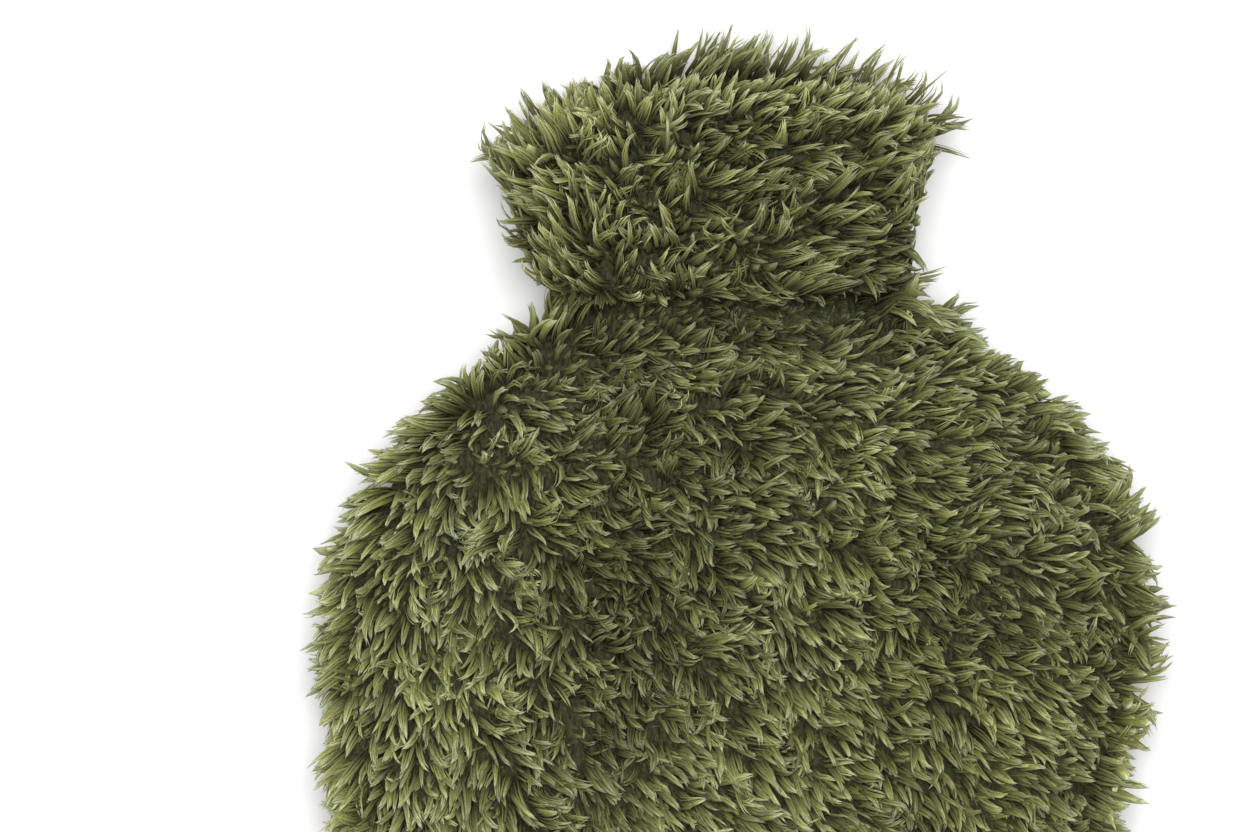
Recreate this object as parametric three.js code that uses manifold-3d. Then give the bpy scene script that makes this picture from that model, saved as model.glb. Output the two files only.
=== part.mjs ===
// Hot water bottle cover in long-pile cloth, lying on its back with its mouth towards +Y.
// Two panels meet at the side seam and leave a pocket and a neck channel between them. A doubled
// collar is sewn round the end of the neck and turned down over it. Locks of pile stand out past
// the side seam, the collar's fold and the collar's free edge.
// Millimetres, +Z up. The origin is under the middle of the bounding box.

import * as THREE from 'three';
import Module from 'manifold-3d';

const wasm = await Module();
wasm.setup();

const GAP = 0.3; // between neighbouring pieces

// Body outline, at the panels' edge. The locks of pile stand about 10 mm further out.
const BODY_HALF_WIDTH = 112.5;
const WIDEST_Y = 0;
const SHOULDER_RISE = 104.5;
const BOTTOM_Y = -162;
const SIDE_TAPER = 0.17; // half width lost for each millimetre well below the widest row
const TAPER_START = 15; // how gently the taper sets in
const BOTTOM_SQUARENESS = 4.6;
const BOTTOM_ROUNDNESS = 2.1;
const BOTTOM_FLAT = 0.7; // how far short of closing up the outline stops, which leaves a straight bottom edge
const NECK_HALF_WIDTH = 41.5;
const NECK_ROUNDING = 8; // where the shoulders run into the neck
const NECK_END_Y = 112.7;
const NECK_SHIFT = -4.5; // the neck sits a little left of the body's middle
const BOTTOM_SHIFT = -2.5;

// Body heights
const SEAM_Z = 22;
const CROWN_Z = 49;
const NECK_TOP_Z = 43;
const NECK_UNDER_Z = 10.5;
const BODY_DOME_REACH = 78; // distance from the edge at which the crown is reached
const NECK_DOME_REACH = 30;
const UNDER_REACH = 24; // distance from the edge at which the underside lies flat

// Walls, pile and cloth together
const FRONT_WALL = 12;
const BACK_WALL = 8;
const NECK_WALL = 4.5;
const SIDE_WALL = 18;
// How much sooner the pocket and the neck channel reach their full height than the panels round them do
const POCKET_FULLNESS = 3;
const NECK_FULLNESS = 2;

// Collar: half widths are along X, half heights along Z
const COLLAR = {
  foot: { halfWidth: 53, halfHeight: 27, shift: -4.5 },
  top: { halfWidth: 65, halfHeight: 28, shift: -7 },
  root: { halfWidth: 42, halfHeight: 16.5 },
  outerWall: 8,
  innerWall: 4.5,
  wallSpace: 1.5,
  middleZ: 27,
  ovalPower: 2.5,
  hemY: { side: 101, front: 93.5, back: 98, uneven: 1.6 },
  foldY: { side: 132, front: 149, back: 158 },
  foldRise: 6,
  meanRadius: 50, // turns an angle round the neck into a distance on the collar laid flat
};

const PILE_COLOUR = 0x5d5f3c;

// ---------------------------------------------------------------- helpers

/** Repeatable random numbers from 0 to 1. */
function randomFrom(seed) {
  let state = seed;
  return () => {
    state = (state + 0x6d2b79f5) | 0;
    let mixed = Math.imul(state ^ (state >>> 15), 1 | state);
    mixed = (mixed + Math.imul(mixed ^ (mixed >>> 7), 61 | mixed)) ^ mixed;
    return ((mixed ^ (mixed >>> 14)) >>> 0) / 4294967296;
  };
}

const { lerp, clamp, smoothstep } = THREE.MathUtils;

/** The larger of two numbers, with the corner between them rounded over. */
function smoothMax(a, b, rounding) {
  return (a + b + Math.hypot(a - b, rounding)) / 2;
}

/** A closed solid from rings of points: walls between them and, unless they close up, a cap at each end. */
function loft(rings, closed = false) {
  const count = rings[0].length;
  const points = rings.flat();
  const triangles = [];
  const last = closed ? rings.length : rings.length - 1;
  for (let ring = 0; ring < last; ring++) {
    const next = (ring + 1) % rings.length;
    for (let side = 0; side < count; side++) {
      const a = ring * count + side;
      const b = ring * count + ((side + 1) % count);
      const c = next * count + ((side + 1) % count);
      const d = next * count + side;
      triangles.push(a, b, c, a, c, d);
    }
  }
  if (!closed) {
    const end = (rings.length - 1) * count;
    for (let side = 1; side < count - 1; side++) {
      triangles.push(0, side + 1, side);
      triangles.push(end, end + side, end + side + 1);
    }
  }
  return solidOf(points, triangles);
}

/** A solid from points and triangles, turned to face outwards whichever way they were listed. */
function solidOf(points, triangles) {
  const edge = new THREE.Vector3();
  let volume = 0;
  for (let k = 0; k < triangles.length; k += 3) {
    const [a, b, c] = triangles.slice(k, k + 3).map((index) => points[index]);
    volume += edge.crossVectors(b, c).dot(a);
  }
  const vertProperties = new Float32Array(points.flatMap((point) => point.toArray()));
  const triVerts = new Uint32Array(volume < 0 ? triangles.toReversed() : triangles);
  return new wasm.Manifold(new wasm.Mesh({ numProp: 3, vertProperties, triVerts }));
}

function meshOf(name, solid) {
  const { vertProperties, triVerts } = solid.getMesh();
  const geometry = new THREE.BufferGeometry();
  geometry.setAttribute('position', new THREE.BufferAttribute(vertProperties, 3));
  geometry.setIndex(new THREE.BufferAttribute(triVerts, 1));
  const material = new THREE.MeshStandardMaterial({ color: PILE_COLOUR, roughness: 0.95, metalness: 0 });
  const mesh = new THREE.Mesh(geometry, material);
  mesh.name = name;
  return mesh;
}

// ---------------------------------------------------------------- body outline

function middleX(y) {
  return NECK_SHIFT * smoothstep(y, 30, 95) + BOTTOM_SHIFT * (1 - smoothstep(y, -60, 0));
}

/** Half width at a height, less an inset: an elliptic shoulder, a tapering side and a rounded bottom. */
function halfWidth(y, inset, neckInset) {
  const above = y - WIDEST_Y;
  const neck = NECK_HALF_WIDTH - neckInset;
  if (above >= 0) {
    const share = clamp(above / (SHOULDER_RISE - inset), 0, 1);
    return smoothMax((BODY_HALF_WIDTH - inset) * Math.sqrt(1 - share * share), neck, NECK_ROUNDING);
  }
  const share = -above / (WIDEST_Y - BOTTOM_Y - inset + BOTTOM_FLAT);
  const rounded = (1 - share ** BOTTOM_SQUARENESS) ** (1 / BOTTOM_ROUNDNESS);
  const taper = SIDE_TAPER * (Math.hypot(above, TAPER_START) - TAPER_START);
  return (smoothMax(BODY_HALF_WIDTH - inset, neck, NECK_ROUNDING) - taper) * rounded;
}

/** Rows of the outline from the bottom edge to the neck's end, each with its y, middle and half width. */
function outlineRows(count, endY, inset = 0, neckInset = 0) {
  return Array.from({ length: count + 1 }, (_, row) => {
    const y = lerp(BOTTOM_Y + inset, endY, row / count);
    return { y, x: middleX(y), half: halfWidth(y, inset, neckInset) };
  });
}

/** The outline's edge as one open line: up the left side is reversed, so it runs left top, bottom, right top. */
function edgeLine(rows) {
  const left = rows.map((row) => new THREE.Vector2(row.x - row.half, row.y)).reverse();
  const right = rows.map((row) => new THREE.Vector2(row.x + row.half, row.y));
  return [...left, ...right];
}

function distanceToLine(x, y, line) {
  let best = Infinity;
  for (let i = 1; i < line.length; i++) {
    const a = line[i - 1];
    const b = line[i];
    const run = b.clone().sub(a);
    const along = clamp(((x - a.x) * run.x + (y - a.y) * run.y) / run.lengthSq(), 0, 1);
    best = Math.min(best, Math.hypot(x - a.x - run.x * along, y - a.y - run.y * along));
  }
  return best;
}

/**
 * A solid with a flat face at baseZ and a domed or dished face whose height is heightAt(x, y, distance
 * from the edge). The dome meets the flat face all round the edge and stops at the neck's end.
 */
function domed(rows, columns, baseZ, heightAt) {
  const line = edgeLine(rows);
  const points = [];
  rows.forEach((row, j) => {
    for (let i = 0; i <= columns; i++) {
      const x = row.x + row.half * ((2 * i) / columns - 1);
      const rim = i === 0 || i === columns || j === 0;
      const z = rim ? baseZ : heightAt(x, row.y, distanceToLine(x, row.y, line));
      points.push(new THREE.Vector3(x, row.y, z));
    }
  });
  const at = (j, i) => j * (columns + 1) + i;
  const top = rows.length - 1;
  const triangles = [];
  for (let j = 0; j < top; j++) {
    for (let i = 0; i < columns; i++) {
      triangles.push(at(j, i), at(j, i + 1), at(j + 1, i + 1), at(j, i), at(j + 1, i + 1), at(j + 1, i));
    }
  }
  for (let i = 1; i < columns; i++) {
    triangles.push(at(top, 0), at(top, i), at(top, i + 1));
  }
  const border = [];
  for (let i = 0; i <= columns; i++) border.push(at(0, i));
  for (let j = 1; j <= top; j++) border.push(at(j, columns));
  for (let j = top; j >= 1; j--) border.push(at(j, 0));
  const flat = border.map((index) => new THREE.Vector2(points[index].x, points[index].y));
  for (const [a, b, c] of THREE.ShapeUtils.triangulateShape(flat, [])) {
    triangles.push(border[a], border[c], border[b]);
  }
  return solidOf(points, triangles);
}

// ---------------------------------------------------------------- the lie of the pile

/** The way the pile is combed on the front: to the right and down, and outwards near the sides. */
function combedBody(x, y) {
  const across = x / BODY_HALF_WIDTH;
  const along = y / BODY_HALF_WIDTH;
  const sideways = 0.45 + 0.75 * across - 0.6 * Math.max(0, -across);
  return new THREE.Vector2(sideways, 0.95 * along - 0.62).normalize();
}

/** The same for the collar: leftwards on its left part, rightwards and a little down on the rest. */
function combedCollar(x, y) {
  return new THREE.Vector2(clamp((x + 38) / 30, -1, 1), 0.15 - 0.35 * smoothstep(-y, -130, -95)).normalize();
}

/** Tufts scattered over a rectangle on a shaken grid, each with its root, direction and size. */
function scatterTufts({ minX, maxX, minY, maxY, spacing, length, halfWide, height, combed, seed }) {
  const random = randomFrom(seed);
  const shake = () => spacing * 0.7 * (random() - 0.5);
  const tufts = [];
  for (let y = minY; y <= maxY; y += spacing) {
    for (let x = minX; x <= maxX; x += spacing) {
      const root = new THREE.Vector2(x + shake(), y + shake());
      const direction = combed(root.x, root.y).rotateAround(new THREE.Vector2(), 0.7 * (random() - 0.5));
      const size = 0.75 + 0.5 * random();
      tufts.push({ root, direction, length: length * size, halfWide: halfWide * size, height: height * size });
    }
  }
  return tufts;
}

/** How far the tufts raise the pile at a point: each climbs along its length and rounds off across it. */
function tuftRise(x, y, tufts) {
  let rise = 0;
  for (const { root, direction, length, halfWide, height } of tufts) {
    const dx = x - root.x;
    const dy = y - root.y;
    const along = (dx * direction.x + dy * direction.y) / length;
    const across = (dy * direction.x - dx * direction.y) / halfWide;
    if (along <= 0 || along >= 1 || Math.abs(across) >= 1) continue;
    const climb = along ** 0.7 * (1 - along ** 6);
    rise = Math.max(rise, height * climb * Math.sqrt(1 - across * across));
  }
  return rise;
}

// ---------------------------------------------------------------- panels

const PANEL_ROWS = 42;
const FRONT_COLUMNS = 36;
const BACK_COLUMNS = 12;
const POCKET_ROWS = 18;
const POCKET_COLUMNS = 12;

const panelRows = outlineRows(PANEL_ROWS, NECK_END_Y);
const pocketRows = outlineRows(POCKET_ROWS, NECK_END_Y + 4, SIDE_WALL, NECK_WALL);

const bodyTufts = scatterTufts({
  minX: -125, maxX: 115, minY: -170, maxY: 90, spacing: 18, length: 36, halfWide: 12, height: 9,
  combed: combedBody, seed: 7,
});

/** 0 on the body, 1 on the neck. */
function neckShare(y) {
  return smoothstep(y, 30, 94);
}

function dome(distance, y) {
  const share = clamp(distance / lerp(BODY_DOME_REACH, NECK_DOME_REACH, neckShare(y)), 0, 1);
  return Math.sqrt(1 - (1 - share) ** 2.3);
}

/** Height of the underside, or of a surface inside it that curves up to the seam in the same way. */
function underside(distance, y, wall) {
  const low = wall + NECK_UNDER_Z * smoothstep(y, 66, 92);
  const share = clamp(distance / UNDER_REACH, 0, 1);
  return lerp(low, SEAM_Z, 1 - Math.sqrt(1 - (1 - share) ** 2));
}

function frontPanel() {
  const base = SEAM_Z + GAP / 2;
  const outer = domed(panelRows, FRONT_COLUMNS, base, (x, y, distance) => {
    const crown = lerp(CROWN_Z, NECK_TOP_Z, neckShare(y));
    const free = smoothstep(distance, 0, 12) * (1 - smoothstep(y, 64, 82));
    return lerp(base, crown, dome(distance, y)) + tuftRise(x, y, bodyTufts) * free;
  });
  const pocket = domed(pocketRows, POCKET_COLUMNS, SEAM_Z - 1, (x, y, distance) => {
    const wall = lerp(FRONT_WALL, NECK_WALL, neckShare(y));
    const crown = lerp(CROWN_Z, NECK_TOP_Z, neckShare(y)) - wall;
    return lerp(SEAM_Z - 1, crown, dome(distance * lerp(POCKET_FULLNESS, NECK_FULLNESS, neckShare(y)), y));
  });
  return outer.subtract(pocket);
}

function backPanel() {
  const base = SEAM_Z - GAP / 2;
  const outer = domed(panelRows, BACK_COLUMNS, base, (x, y, distance) => underside(distance, y, 0));
  const pocket = domed(pocketRows, POCKET_COLUMNS, SEAM_Z + 1, (x, y, distance) => {
    return underside(distance * NECK_FULLNESS, y, lerp(BACK_WALL, NECK_WALL, neckShare(y)));
  });
  return outer.subtract(pocket);
}

// ---------------------------------------------------------------- collar

const COLLAR_STEPS = 56;
const collarTufts = scatterTufts({
  minX: -160, maxX: 160, minY: 80, maxY: 165, spacing: 15, length: 30, halfWide: 10, height: 7,
  combed: combedCollar, seed: 11,
});

/** A point on a flattened oval, from the angle round it. */
function ovalPoint(angle, halfX, halfZ, shift, y) {
  const power = 2 / COLLAR.ovalPower;
  const c = Math.cos(angle);
  const s = Math.sin(angle);
  const x = shift + halfX * Math.sign(c) * Math.abs(c) ** power;
  const z = COLLAR.middleZ + halfZ * Math.sign(s) * Math.abs(s) ** power;
  return new THREE.Vector3(x, y, z);
}

/** Height of the fold at an angle: lowest at the sides, higher in front and highest behind. */
function foldY(angle) {
  const { side, front, back } = COLLAR.foldY;
  const middle = Math.sin(angle) > 0 ? front : back;
  return lerp(side, middle, Math.sin(angle) ** 2);
}

/** Height of the free edge at an angle: it clears the shoulders at the sides and dips unevenly in front. */
function hemY(angle) {
  const { side, front, back, uneven } = COLLAR.hemY;
  const middle = Math.sin(angle) > 0 ? front : back;
  const share = Math.sin(angle) ** 2;
  return lerp(side, middle, share) + uneven * share * Math.sin(5 * angle + 0.6);
}

/** Outer half sizes of the collar, a share of the way from its free edge to its fold. */
function collarSize(share, depth) {
  const { foot, top } = COLLAR;
  return {
    halfX: lerp(foot.halfWidth, top.halfWidth, share ** 0.9) - depth,
    halfZ: lerp(foot.halfHeight, top.halfHeight, share) - depth,
    shift: lerp(foot.shift, top.shift, share),
  };
}

/** Half sizes of the inner wall's outer face, which runs from the neck's end up to the fold. */
function innerSize(share, depth) {
  const top = collarSize(1, COLLAR.outerWall + COLLAR.wallSpace);
  return {
    halfX: lerp(COLLAR.root.halfWidth, top.halfX, share ** 0.7) - depth,
    halfZ: lerp(COLLAR.root.halfHeight, top.halfZ, share ** 0.7) - depth,
    shift: lerp(NECK_SHIFT, top.shift, share),
  };
}

/** One turn round the collar's doubled section at an angle round the neck. */
function collarSection(angle) {
  const fold = foldY(angle);
  const hem = hemY(angle);
  const root = NECK_END_Y + GAP;
  const wallDepth = COLLAR.outerWall + COLLAR.wallSpace + COLLAR.innerWall;
  const points = [];
  const turn = ((angle + Math.PI / 2) % (2 * Math.PI)) - Math.PI; // 0 in front, a half turn behind
  const outwards = new THREE.Vector3(Math.cos(angle), 0, Math.sin(angle));
  const place = ({ halfX, halfZ, shift }, y, raised) => {
    const point = ovalPoint(angle, halfX, halfZ, shift, y);
    point.addScaledVector(outwards, raised * tuftRise(-turn * COLLAR.meanRadius, y, collarTufts));
    point.z = Math.max(point.z, 0);
    points.push(point);
  };
  for (const share of [0, 0.14, 0.28, 0.42, 0.56, 0.7, 0.85]) {
    place(collarSize(share, 0), lerp(hem, fold, share), share === 0 ? 0.5 : 1);
  }
  for (const turn of [0, 0.25, 0.5, 0.75, 1]) {
    const depth = (wallDepth / 2) * (1 - Math.cos(Math.PI * turn));
    place(collarSize(1, depth), fold + COLLAR.foldRise * Math.sin(Math.PI * turn), turn === 0 ? 1 : 0);
  }
  for (const share of [0.5, 0]) place(innerSize(share, COLLAR.innerWall), lerp(root, fold, share), 0);
  for (const share of [0, 0.5, 0.95]) place(innerSize(share, 0), lerp(root, fold, share), 0);
  for (const share of [0.9, 0.45, 0]) place(collarSize(share, COLLAR.outerWall), lerp(hem, fold, share), 0);
  return points;
}

function collar() {
  const rings = Array.from({ length: COLLAR_STEPS }, (_, step) => {
    return collarSection((2 * Math.PI * step) / COLLAR_STEPS);
  });
  return loft(rings, true);
}

// ---------------------------------------------------------------- locks of pile

/** One lock: a three-sided tapering spike that starts at its root, leans along its path and bends. */
function lock({ root, direction, droop, length, width }) {
  const sideways = new THREE.Vector3(-direction.y, direction.x, 0).normalize();
  const upwards = new THREE.Vector3().crossVectors(direction, sideways).normalize();
  const rings = [[0, 1], [0.45, 0.8], [1, 0.12]].map(([share, size]) => {
    const middle = root.clone().addScaledVector(direction, length * share);
    middle.z += droop * length * share * share;
    return [0, 1, 2].map((corner) => {
      const angle = (2 * Math.PI * corner) / 3 + Math.PI / 2;
      return middle.clone()
        .addScaledVector(sideways, Math.cos(angle) * width * size)
        .addScaledVector(upwards, Math.sin(angle) * width * size * 0.6);
    });
  });
  return loft(rings);
}

/** A strip of backing swept through four-cornered sections, with its locks fused to it. */
function fringe(sections, closed, locks) {
  return wasm.Manifold.union([loft(sections, closed), ...locks.map(lock)]);
}

// lift is the space along Y from the collar, enough for GAP where its edge slopes
const RIM = { strip: 4, halfHeight: 6, endY: 94, locks: 150, length: 11, width: 3.1 };
const CROWN = { strip: 3, lift: 0.55, from: 4.5, to: 10, locks: 66, length: 11, width: 2.4 };
const HEM = {
  strip: 3, lift: 0.45, from: 1.5, to: 6.5, fromAngle: 0.6, steps: 20, locks: 36, length: 14, width: 2.3,
};

/** The side seam as a line from the left of the neck round the bottom to the right, with outward normals. */
function seamLine() {
  const line = edgeLine(panelRows).filter((point) => point.y < RIM.endY);
  return line.map((point, i) => {
    const before = line[Math.max(i - 1, 0)];
    const after = line[Math.min(i + 1, line.length - 1)];
    const run = after.clone().sub(before).normalize();
    const turn = Math.cos(point.clone().sub(before).angle() - after.clone().sub(point).angle());
    const mitre = i > 0 && i < line.length - 1 ? Math.sqrt(2 / (1 + turn)) : 1;
    return { point, normal: new THREE.Vector2(run.y, -run.x), mitre };
  });
}

function rimPile() {
  const random = randomFrom(23);
  const line = seamLine();
  const at = ({ point, normal, mitre }, out, z) => {
    return new THREE.Vector3(point.x + normal.x * out * mitre, point.y + normal.y * out * mitre, z);
  };
  const low = SEAM_Z - RIM.halfHeight;
  const high = SEAM_Z + RIM.halfHeight;
  const outer = GAP + RIM.strip;
  const sections = line.map((edge) => [at(edge, GAP, low), at(edge, GAP, high), at(edge, outer, SEAM_Z)]);
  const locks = Array.from({ length: RIM.locks }, (_, k) => {
    const along = ((k + 0.5) / RIM.locks) * (line.length - 1);
    const a = line[Math.floor(along)];
    const b = line[Math.floor(along) + 1];
    const point = a.point.clone().lerp(b.point, along % 1);
    const normal = a.normal.clone().lerp(b.normal, along % 1).normalize();
    const level = (k % 2) * 2 - 1;
    const lean = combedBody(point.x, point.y).multiplyScalar(0.55).add(normal).normalize();
    const twist = 0.25 * (random() - 0.5);
    lean.rotateAround(new THREE.Vector2(), twist);
    const direction = new THREE.Vector3(lean.x, lean.y, level * (0.15 + 0.35 * random())).normalize();
    const root = at({ point, normal, mitre: 1 }, GAP + 2.2, SEAM_Z + level * 2.6);
    const length = RIM.length * (0.75 + 0.5 * random());
    return { root, direction, droop: -0.25 * random(), length, width: RIM.width };
  });
  return fringe(sections, false, locks);
}

/** Locks standing up from a ring of backing just above the collar's fold. */
function crownPile() {
  const random = randomFrom(31);
  const ringPoint = (angle, depth, up) => {
    const { halfX, halfZ, shift } = collarSize(1, depth);
    return ovalPoint(angle, halfX, halfZ, shift, foldY(angle) + COLLAR.foldRise + CROWN.lift + up);
  };
  const sections = Array.from({ length: COLLAR_STEPS }, (_, step) => {
    const angle = (2 * Math.PI * step) / COLLAR_STEPS;
    return [
      ringPoint(angle, CROWN.from, 0), ringPoint(angle, CROWN.to, 0),
      ringPoint(angle, CROWN.to, CROWN.strip), ringPoint(angle, CROWN.from, CROWN.strip),
    ];
  });
  const locks = Array.from({ length: CROWN.locks }, (_, k) => {
    const angle = (2 * Math.PI * (k + 0.5)) / CROWN.locks;
    const root = ringPoint(angle, (CROWN.from + CROWN.to) / 2, CROWN.strip / 2);
    const outwards = 0.35 + 0.5 * random();
    const direction = new THREE.Vector3(Math.cos(angle) * outwards, 1, Math.sin(angle) * outwards * 0.5);
    direction.x += 0.3 * (random() - 0.5);
    const length = CROWN.length * (0.75 + 0.5 * random());
    return { root, direction: direction.normalize(), droop: 0, length, width: CROWN.width };
  });
  return fringe(sections, true, locks);
}

/** Locks hanging over the front of the shoulders from a strip just under the collar's free edge. */
function hemPile() {
  const random = randomFrom(43);
  const stripPoint = (angle, depth, drop) => {
    const { halfX, halfZ, shift } = collarSize(0, depth);
    return ovalPoint(angle, halfX, halfZ, shift, hemY(angle) - HEM.lift - drop);
  };
  const angleAt = (share) => lerp(Math.PI - HEM.fromAngle, HEM.fromAngle, share);
  const sections = Array.from({ length: HEM.steps + 1 }, (_, step) => {
    const angle = angleAt(step / HEM.steps);
    return [
      stripPoint(angle, HEM.from, 0), stripPoint(angle, HEM.to, 0),
      stripPoint(angle, HEM.to, HEM.strip), stripPoint(angle, HEM.from, HEM.strip),
    ];
  });
  const locks = Array.from({ length: HEM.locks }, (_, k) => {
    const angle = angleAt((k + 0.5) / HEM.locks);
    const root = stripPoint(angle, (HEM.from + HEM.to) / 2, HEM.strip / 2);
    const direction = new THREE.Vector3(0.15 + 0.5 * random(), -1, 0.12 + 0.1 * random()).normalize();
    const length = HEM.length * (0.75 + 0.5 * random());
    return { root, direction, droop: -0.1 * random(), length, width: HEM.width };
  });
  return fringe(sections, false, locks);
}

// ---------------------------------------------------------------- the cover

const cover = new THREE.Group();
cover.add(
  meshOf('front_panel', frontPanel()),
  meshOf('back_panel', backPanel()),
  meshOf('collar', collar()),
  meshOf('rim_pile', rimPile()),
  meshOf('collar_crown_pile', crownPile()),
  meshOf('collar_hem_pile', hemPile()),
);

const bounds = new THREE.Box3().setFromObject(cover);
const centre = bounds.getCenter(new THREE.Vector3());
cover.position.set(-centre.x, -centre.y, -bounds.min.z);

export default cover;
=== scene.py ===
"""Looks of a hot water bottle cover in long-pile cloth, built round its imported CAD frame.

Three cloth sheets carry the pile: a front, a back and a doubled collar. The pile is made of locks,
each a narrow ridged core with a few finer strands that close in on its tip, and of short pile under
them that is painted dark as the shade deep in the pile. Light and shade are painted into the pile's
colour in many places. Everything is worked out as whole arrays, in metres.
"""

import math
from collections import namedtuple

import bpy
import numpy as np
from bpy.props import FloatProperty, FloatVectorProperty, IntProperty, PointerProperty
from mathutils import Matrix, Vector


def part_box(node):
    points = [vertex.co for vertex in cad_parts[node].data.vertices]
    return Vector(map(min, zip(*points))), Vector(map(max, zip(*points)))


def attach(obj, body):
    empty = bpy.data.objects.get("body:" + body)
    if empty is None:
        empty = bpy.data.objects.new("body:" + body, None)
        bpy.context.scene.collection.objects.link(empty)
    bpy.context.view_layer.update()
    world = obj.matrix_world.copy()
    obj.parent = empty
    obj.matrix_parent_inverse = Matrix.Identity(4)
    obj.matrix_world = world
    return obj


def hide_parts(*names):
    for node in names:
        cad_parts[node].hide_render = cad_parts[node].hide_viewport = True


bl_info = {
    "name": "Long-pile bottle cover",
    "version": (1, 0, 0),
    "blender": (4, 5, 0),
    "location": "3D View > Sidebar > Cover",
    "description": "Builds the cloth, the pile and the stage of a hot water bottle cover",
    "category": "Add Mesh",
}

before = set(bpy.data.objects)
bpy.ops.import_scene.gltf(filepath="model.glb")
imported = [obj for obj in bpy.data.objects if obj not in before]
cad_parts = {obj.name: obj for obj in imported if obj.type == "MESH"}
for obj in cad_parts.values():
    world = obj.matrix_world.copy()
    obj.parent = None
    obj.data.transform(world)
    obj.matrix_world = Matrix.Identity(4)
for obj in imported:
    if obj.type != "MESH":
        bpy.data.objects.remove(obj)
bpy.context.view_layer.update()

MM = 0.001
BODY = "root"

# ------------------------------------------------------------------ sizes taken from the frame

PANEL_LOW, PANEL_HIGH = (np.array(corner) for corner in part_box("front_panel"))
BOTTOM_Y = PANEL_LOW[1]
NECK_END_Y = PANEL_HIGH[1]
WIDEST_Y = BOTTOM_Y + 162 * MM
HALF_WIDTH = (PANEL_HIGH[0] - PANEL_LOW[0]) / 2 - 0.2 * MM
SEAM_Z = PANEL_LOW[2]
MIDDLE_Z = 27 * MM  # height of the middle of the collar's oval

# ------------------------------------------------------------------ sizes of the body's outline

SHOULDER_RISE = 104.5 * MM
SIDE_TAPER = 0.17
TAPER_START = 15 * MM
BOTTOM_SQUARENESS = 4.6
BOTTOM_ROUNDNESS = 2.1
BOTTOM_FLAT = 0.7 * MM
NECK_HALF_WIDTH = 41.5 * MM
NECK_ROUNDING = 8 * MM
NECK_SHIFT = -4.5 * MM
BOTTOM_SHIFT = -2.5 * MM

# How far the cloth lies inside the solids' outline and under their tops, which reach as far as the
# pile does. A shift moves it along X: at the sides to the left, at the shoulders to the right.
CLOTH_INSET = -0.8 * MM
CLOTH_SHOULDER_INSET = 5 * MM
CLOTH_NECK_INSET = 3 * MM
CLOTH_SIDE_SHIFT = -1.9 * MM
CLOTH_SHOULDER_SHIFT = 4.5 * MM
CLOTH_DEPTH = 6 * MM
CLOTH_SOFTNESS = 7 * MM  # size over which the solid's bumps are smoothed
LEAST_RISE = 3 * MM  # of the front cloth over the seam
SEAM_GAP = 0.4 * MM  # between the seam and the front cloth's edge
EDGE_ROUNDING = 15 * MM
UNDER_Z = 6.5 * MM  # height of the back cloth where it lies flat
UNDER_NECK_RISE = 10 * MM  # of the back cloth towards the neck

# The rounded edge on which the rim's pile grows: its radius, how far it draws in from the outline,
# how far it drops under the seam, and the two bands on it, measured round it from the seam
RIM_RADIUS = 11 * MM
RIM_DRAW_IN = 9 * MM
RIM_DROP = 13 * MM
RIM_ABOVE = (-2 * MM, 13 * MM)
RIM_BELOW = (-17 * MM, -1 * MM)

# ------------------------------------------------------------------ sizes of the collar

# Half widths along X, half heights along Z, places along Y from the neck's end
COLLAR = {
    "foot_half": (56 * MM, 27 * MM),
    "top_half": (65 * MM, 28 * MM),
    "root_half": (42 * MM, 16.5 * MM),
    "foot_shift": -5 * MM,
    "top_shift": -7 * MM,
    "oval_power": 2.5,
    "pile_depth": 7.5 * MM,
    "inner_depth": 16 * MM,
    "hem": {"left": -11.7 * MM, "right": -11.7 * MM, "front": -15.5 * MM, "back": -14.7 * MM},
    "fold": {"left": 19.3 * MM, "right": 30 * MM, "front": 36.3 * MM, "back": 45.3 * MM},
    "fold_rise": 4 * MM,
    "row_pitch": 11.7 * MM,
    "row_height": 3.4 * MM,
    "row_drift": 2.6 * MM,
}
HEM_Y = NECK_END_Y + COLLAR["hem"]["front"]
HEM_RUN = 125 * MM  # length of the free edge in front
CROWN_BAND = (-2 * MM, 14 * MM)  # of the crown's pile, measured from the fold's outer side over it
CROWN_RADIUS = 4.6 * MM  # of the fold
CROWN_TURN_IN = 3.5 * MM  # half way from the fold's outer side to its inner side
CROWN_INSET = 3 * MM  # of the oval along which the crown's pile is spaced
LOWEST = 0.25 * MM  # of any point of the pile over the floor

# ------------------------------------------------------------------ the usual lock

# Middle and spread: of the angle to the cloth at the root and at the tip, in degrees, and of the
# tip's extra bend, in radians. Spread alone: of length and width in shares, of the turn of the
# section in radians, and of the tone.
LOCK_RISE = (55, 9)
LOCK_FALL = (-11, 10)
LOCK_CURL = (0.05, 0.65)
LENGTH_SPREAD = 0.12
WIDTH_SPREAD = 0.30
ROLL_SPREAD = 0.45
TWIST_SPREAD = 0.55
TONE_SPREAD = 0.13
TIP_REACH = 0.66  # how far over the cloth a tip lies from its root, in lengths of the lock
LIKENESS = 0.66  # how much a lock bends as the head of its tuft does

BODY_REACH = 22 * MM  # size over which the places of the body's table are mixed
COLLAR_REACH = 17 * MM  # the same for the collar's table

# ------------------------------------------------------------------ the stage

FLOOR_HALF = 2.5
KEY_SIZE = 1.0
KEY_PLACE = (0.02, 0.32, 1.5)
KEY_AIM = (0, 0.03, 0)
CAMERA_OVER = (-33.7 * MM, 61.0 * MM)  # the place on X and Y over which the camera hangs
SENSOR_WIDTH = 36.0  # in millimetres, as cameras state it

# ------------------------------------------------------------------ the lie of the pile

# Where (x, y in millimetres), the heading of the pile there in degrees from +X towards +Y, how much
# tufts and locks stray from it in degrees, and how much paler (above 0) or darker they are. That shade
# is partly the pile's own tone and partly painted light and shade, for how the light falls on each part.
Lie = namedtuple("Lie", "place x y heading stray shade")

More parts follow.
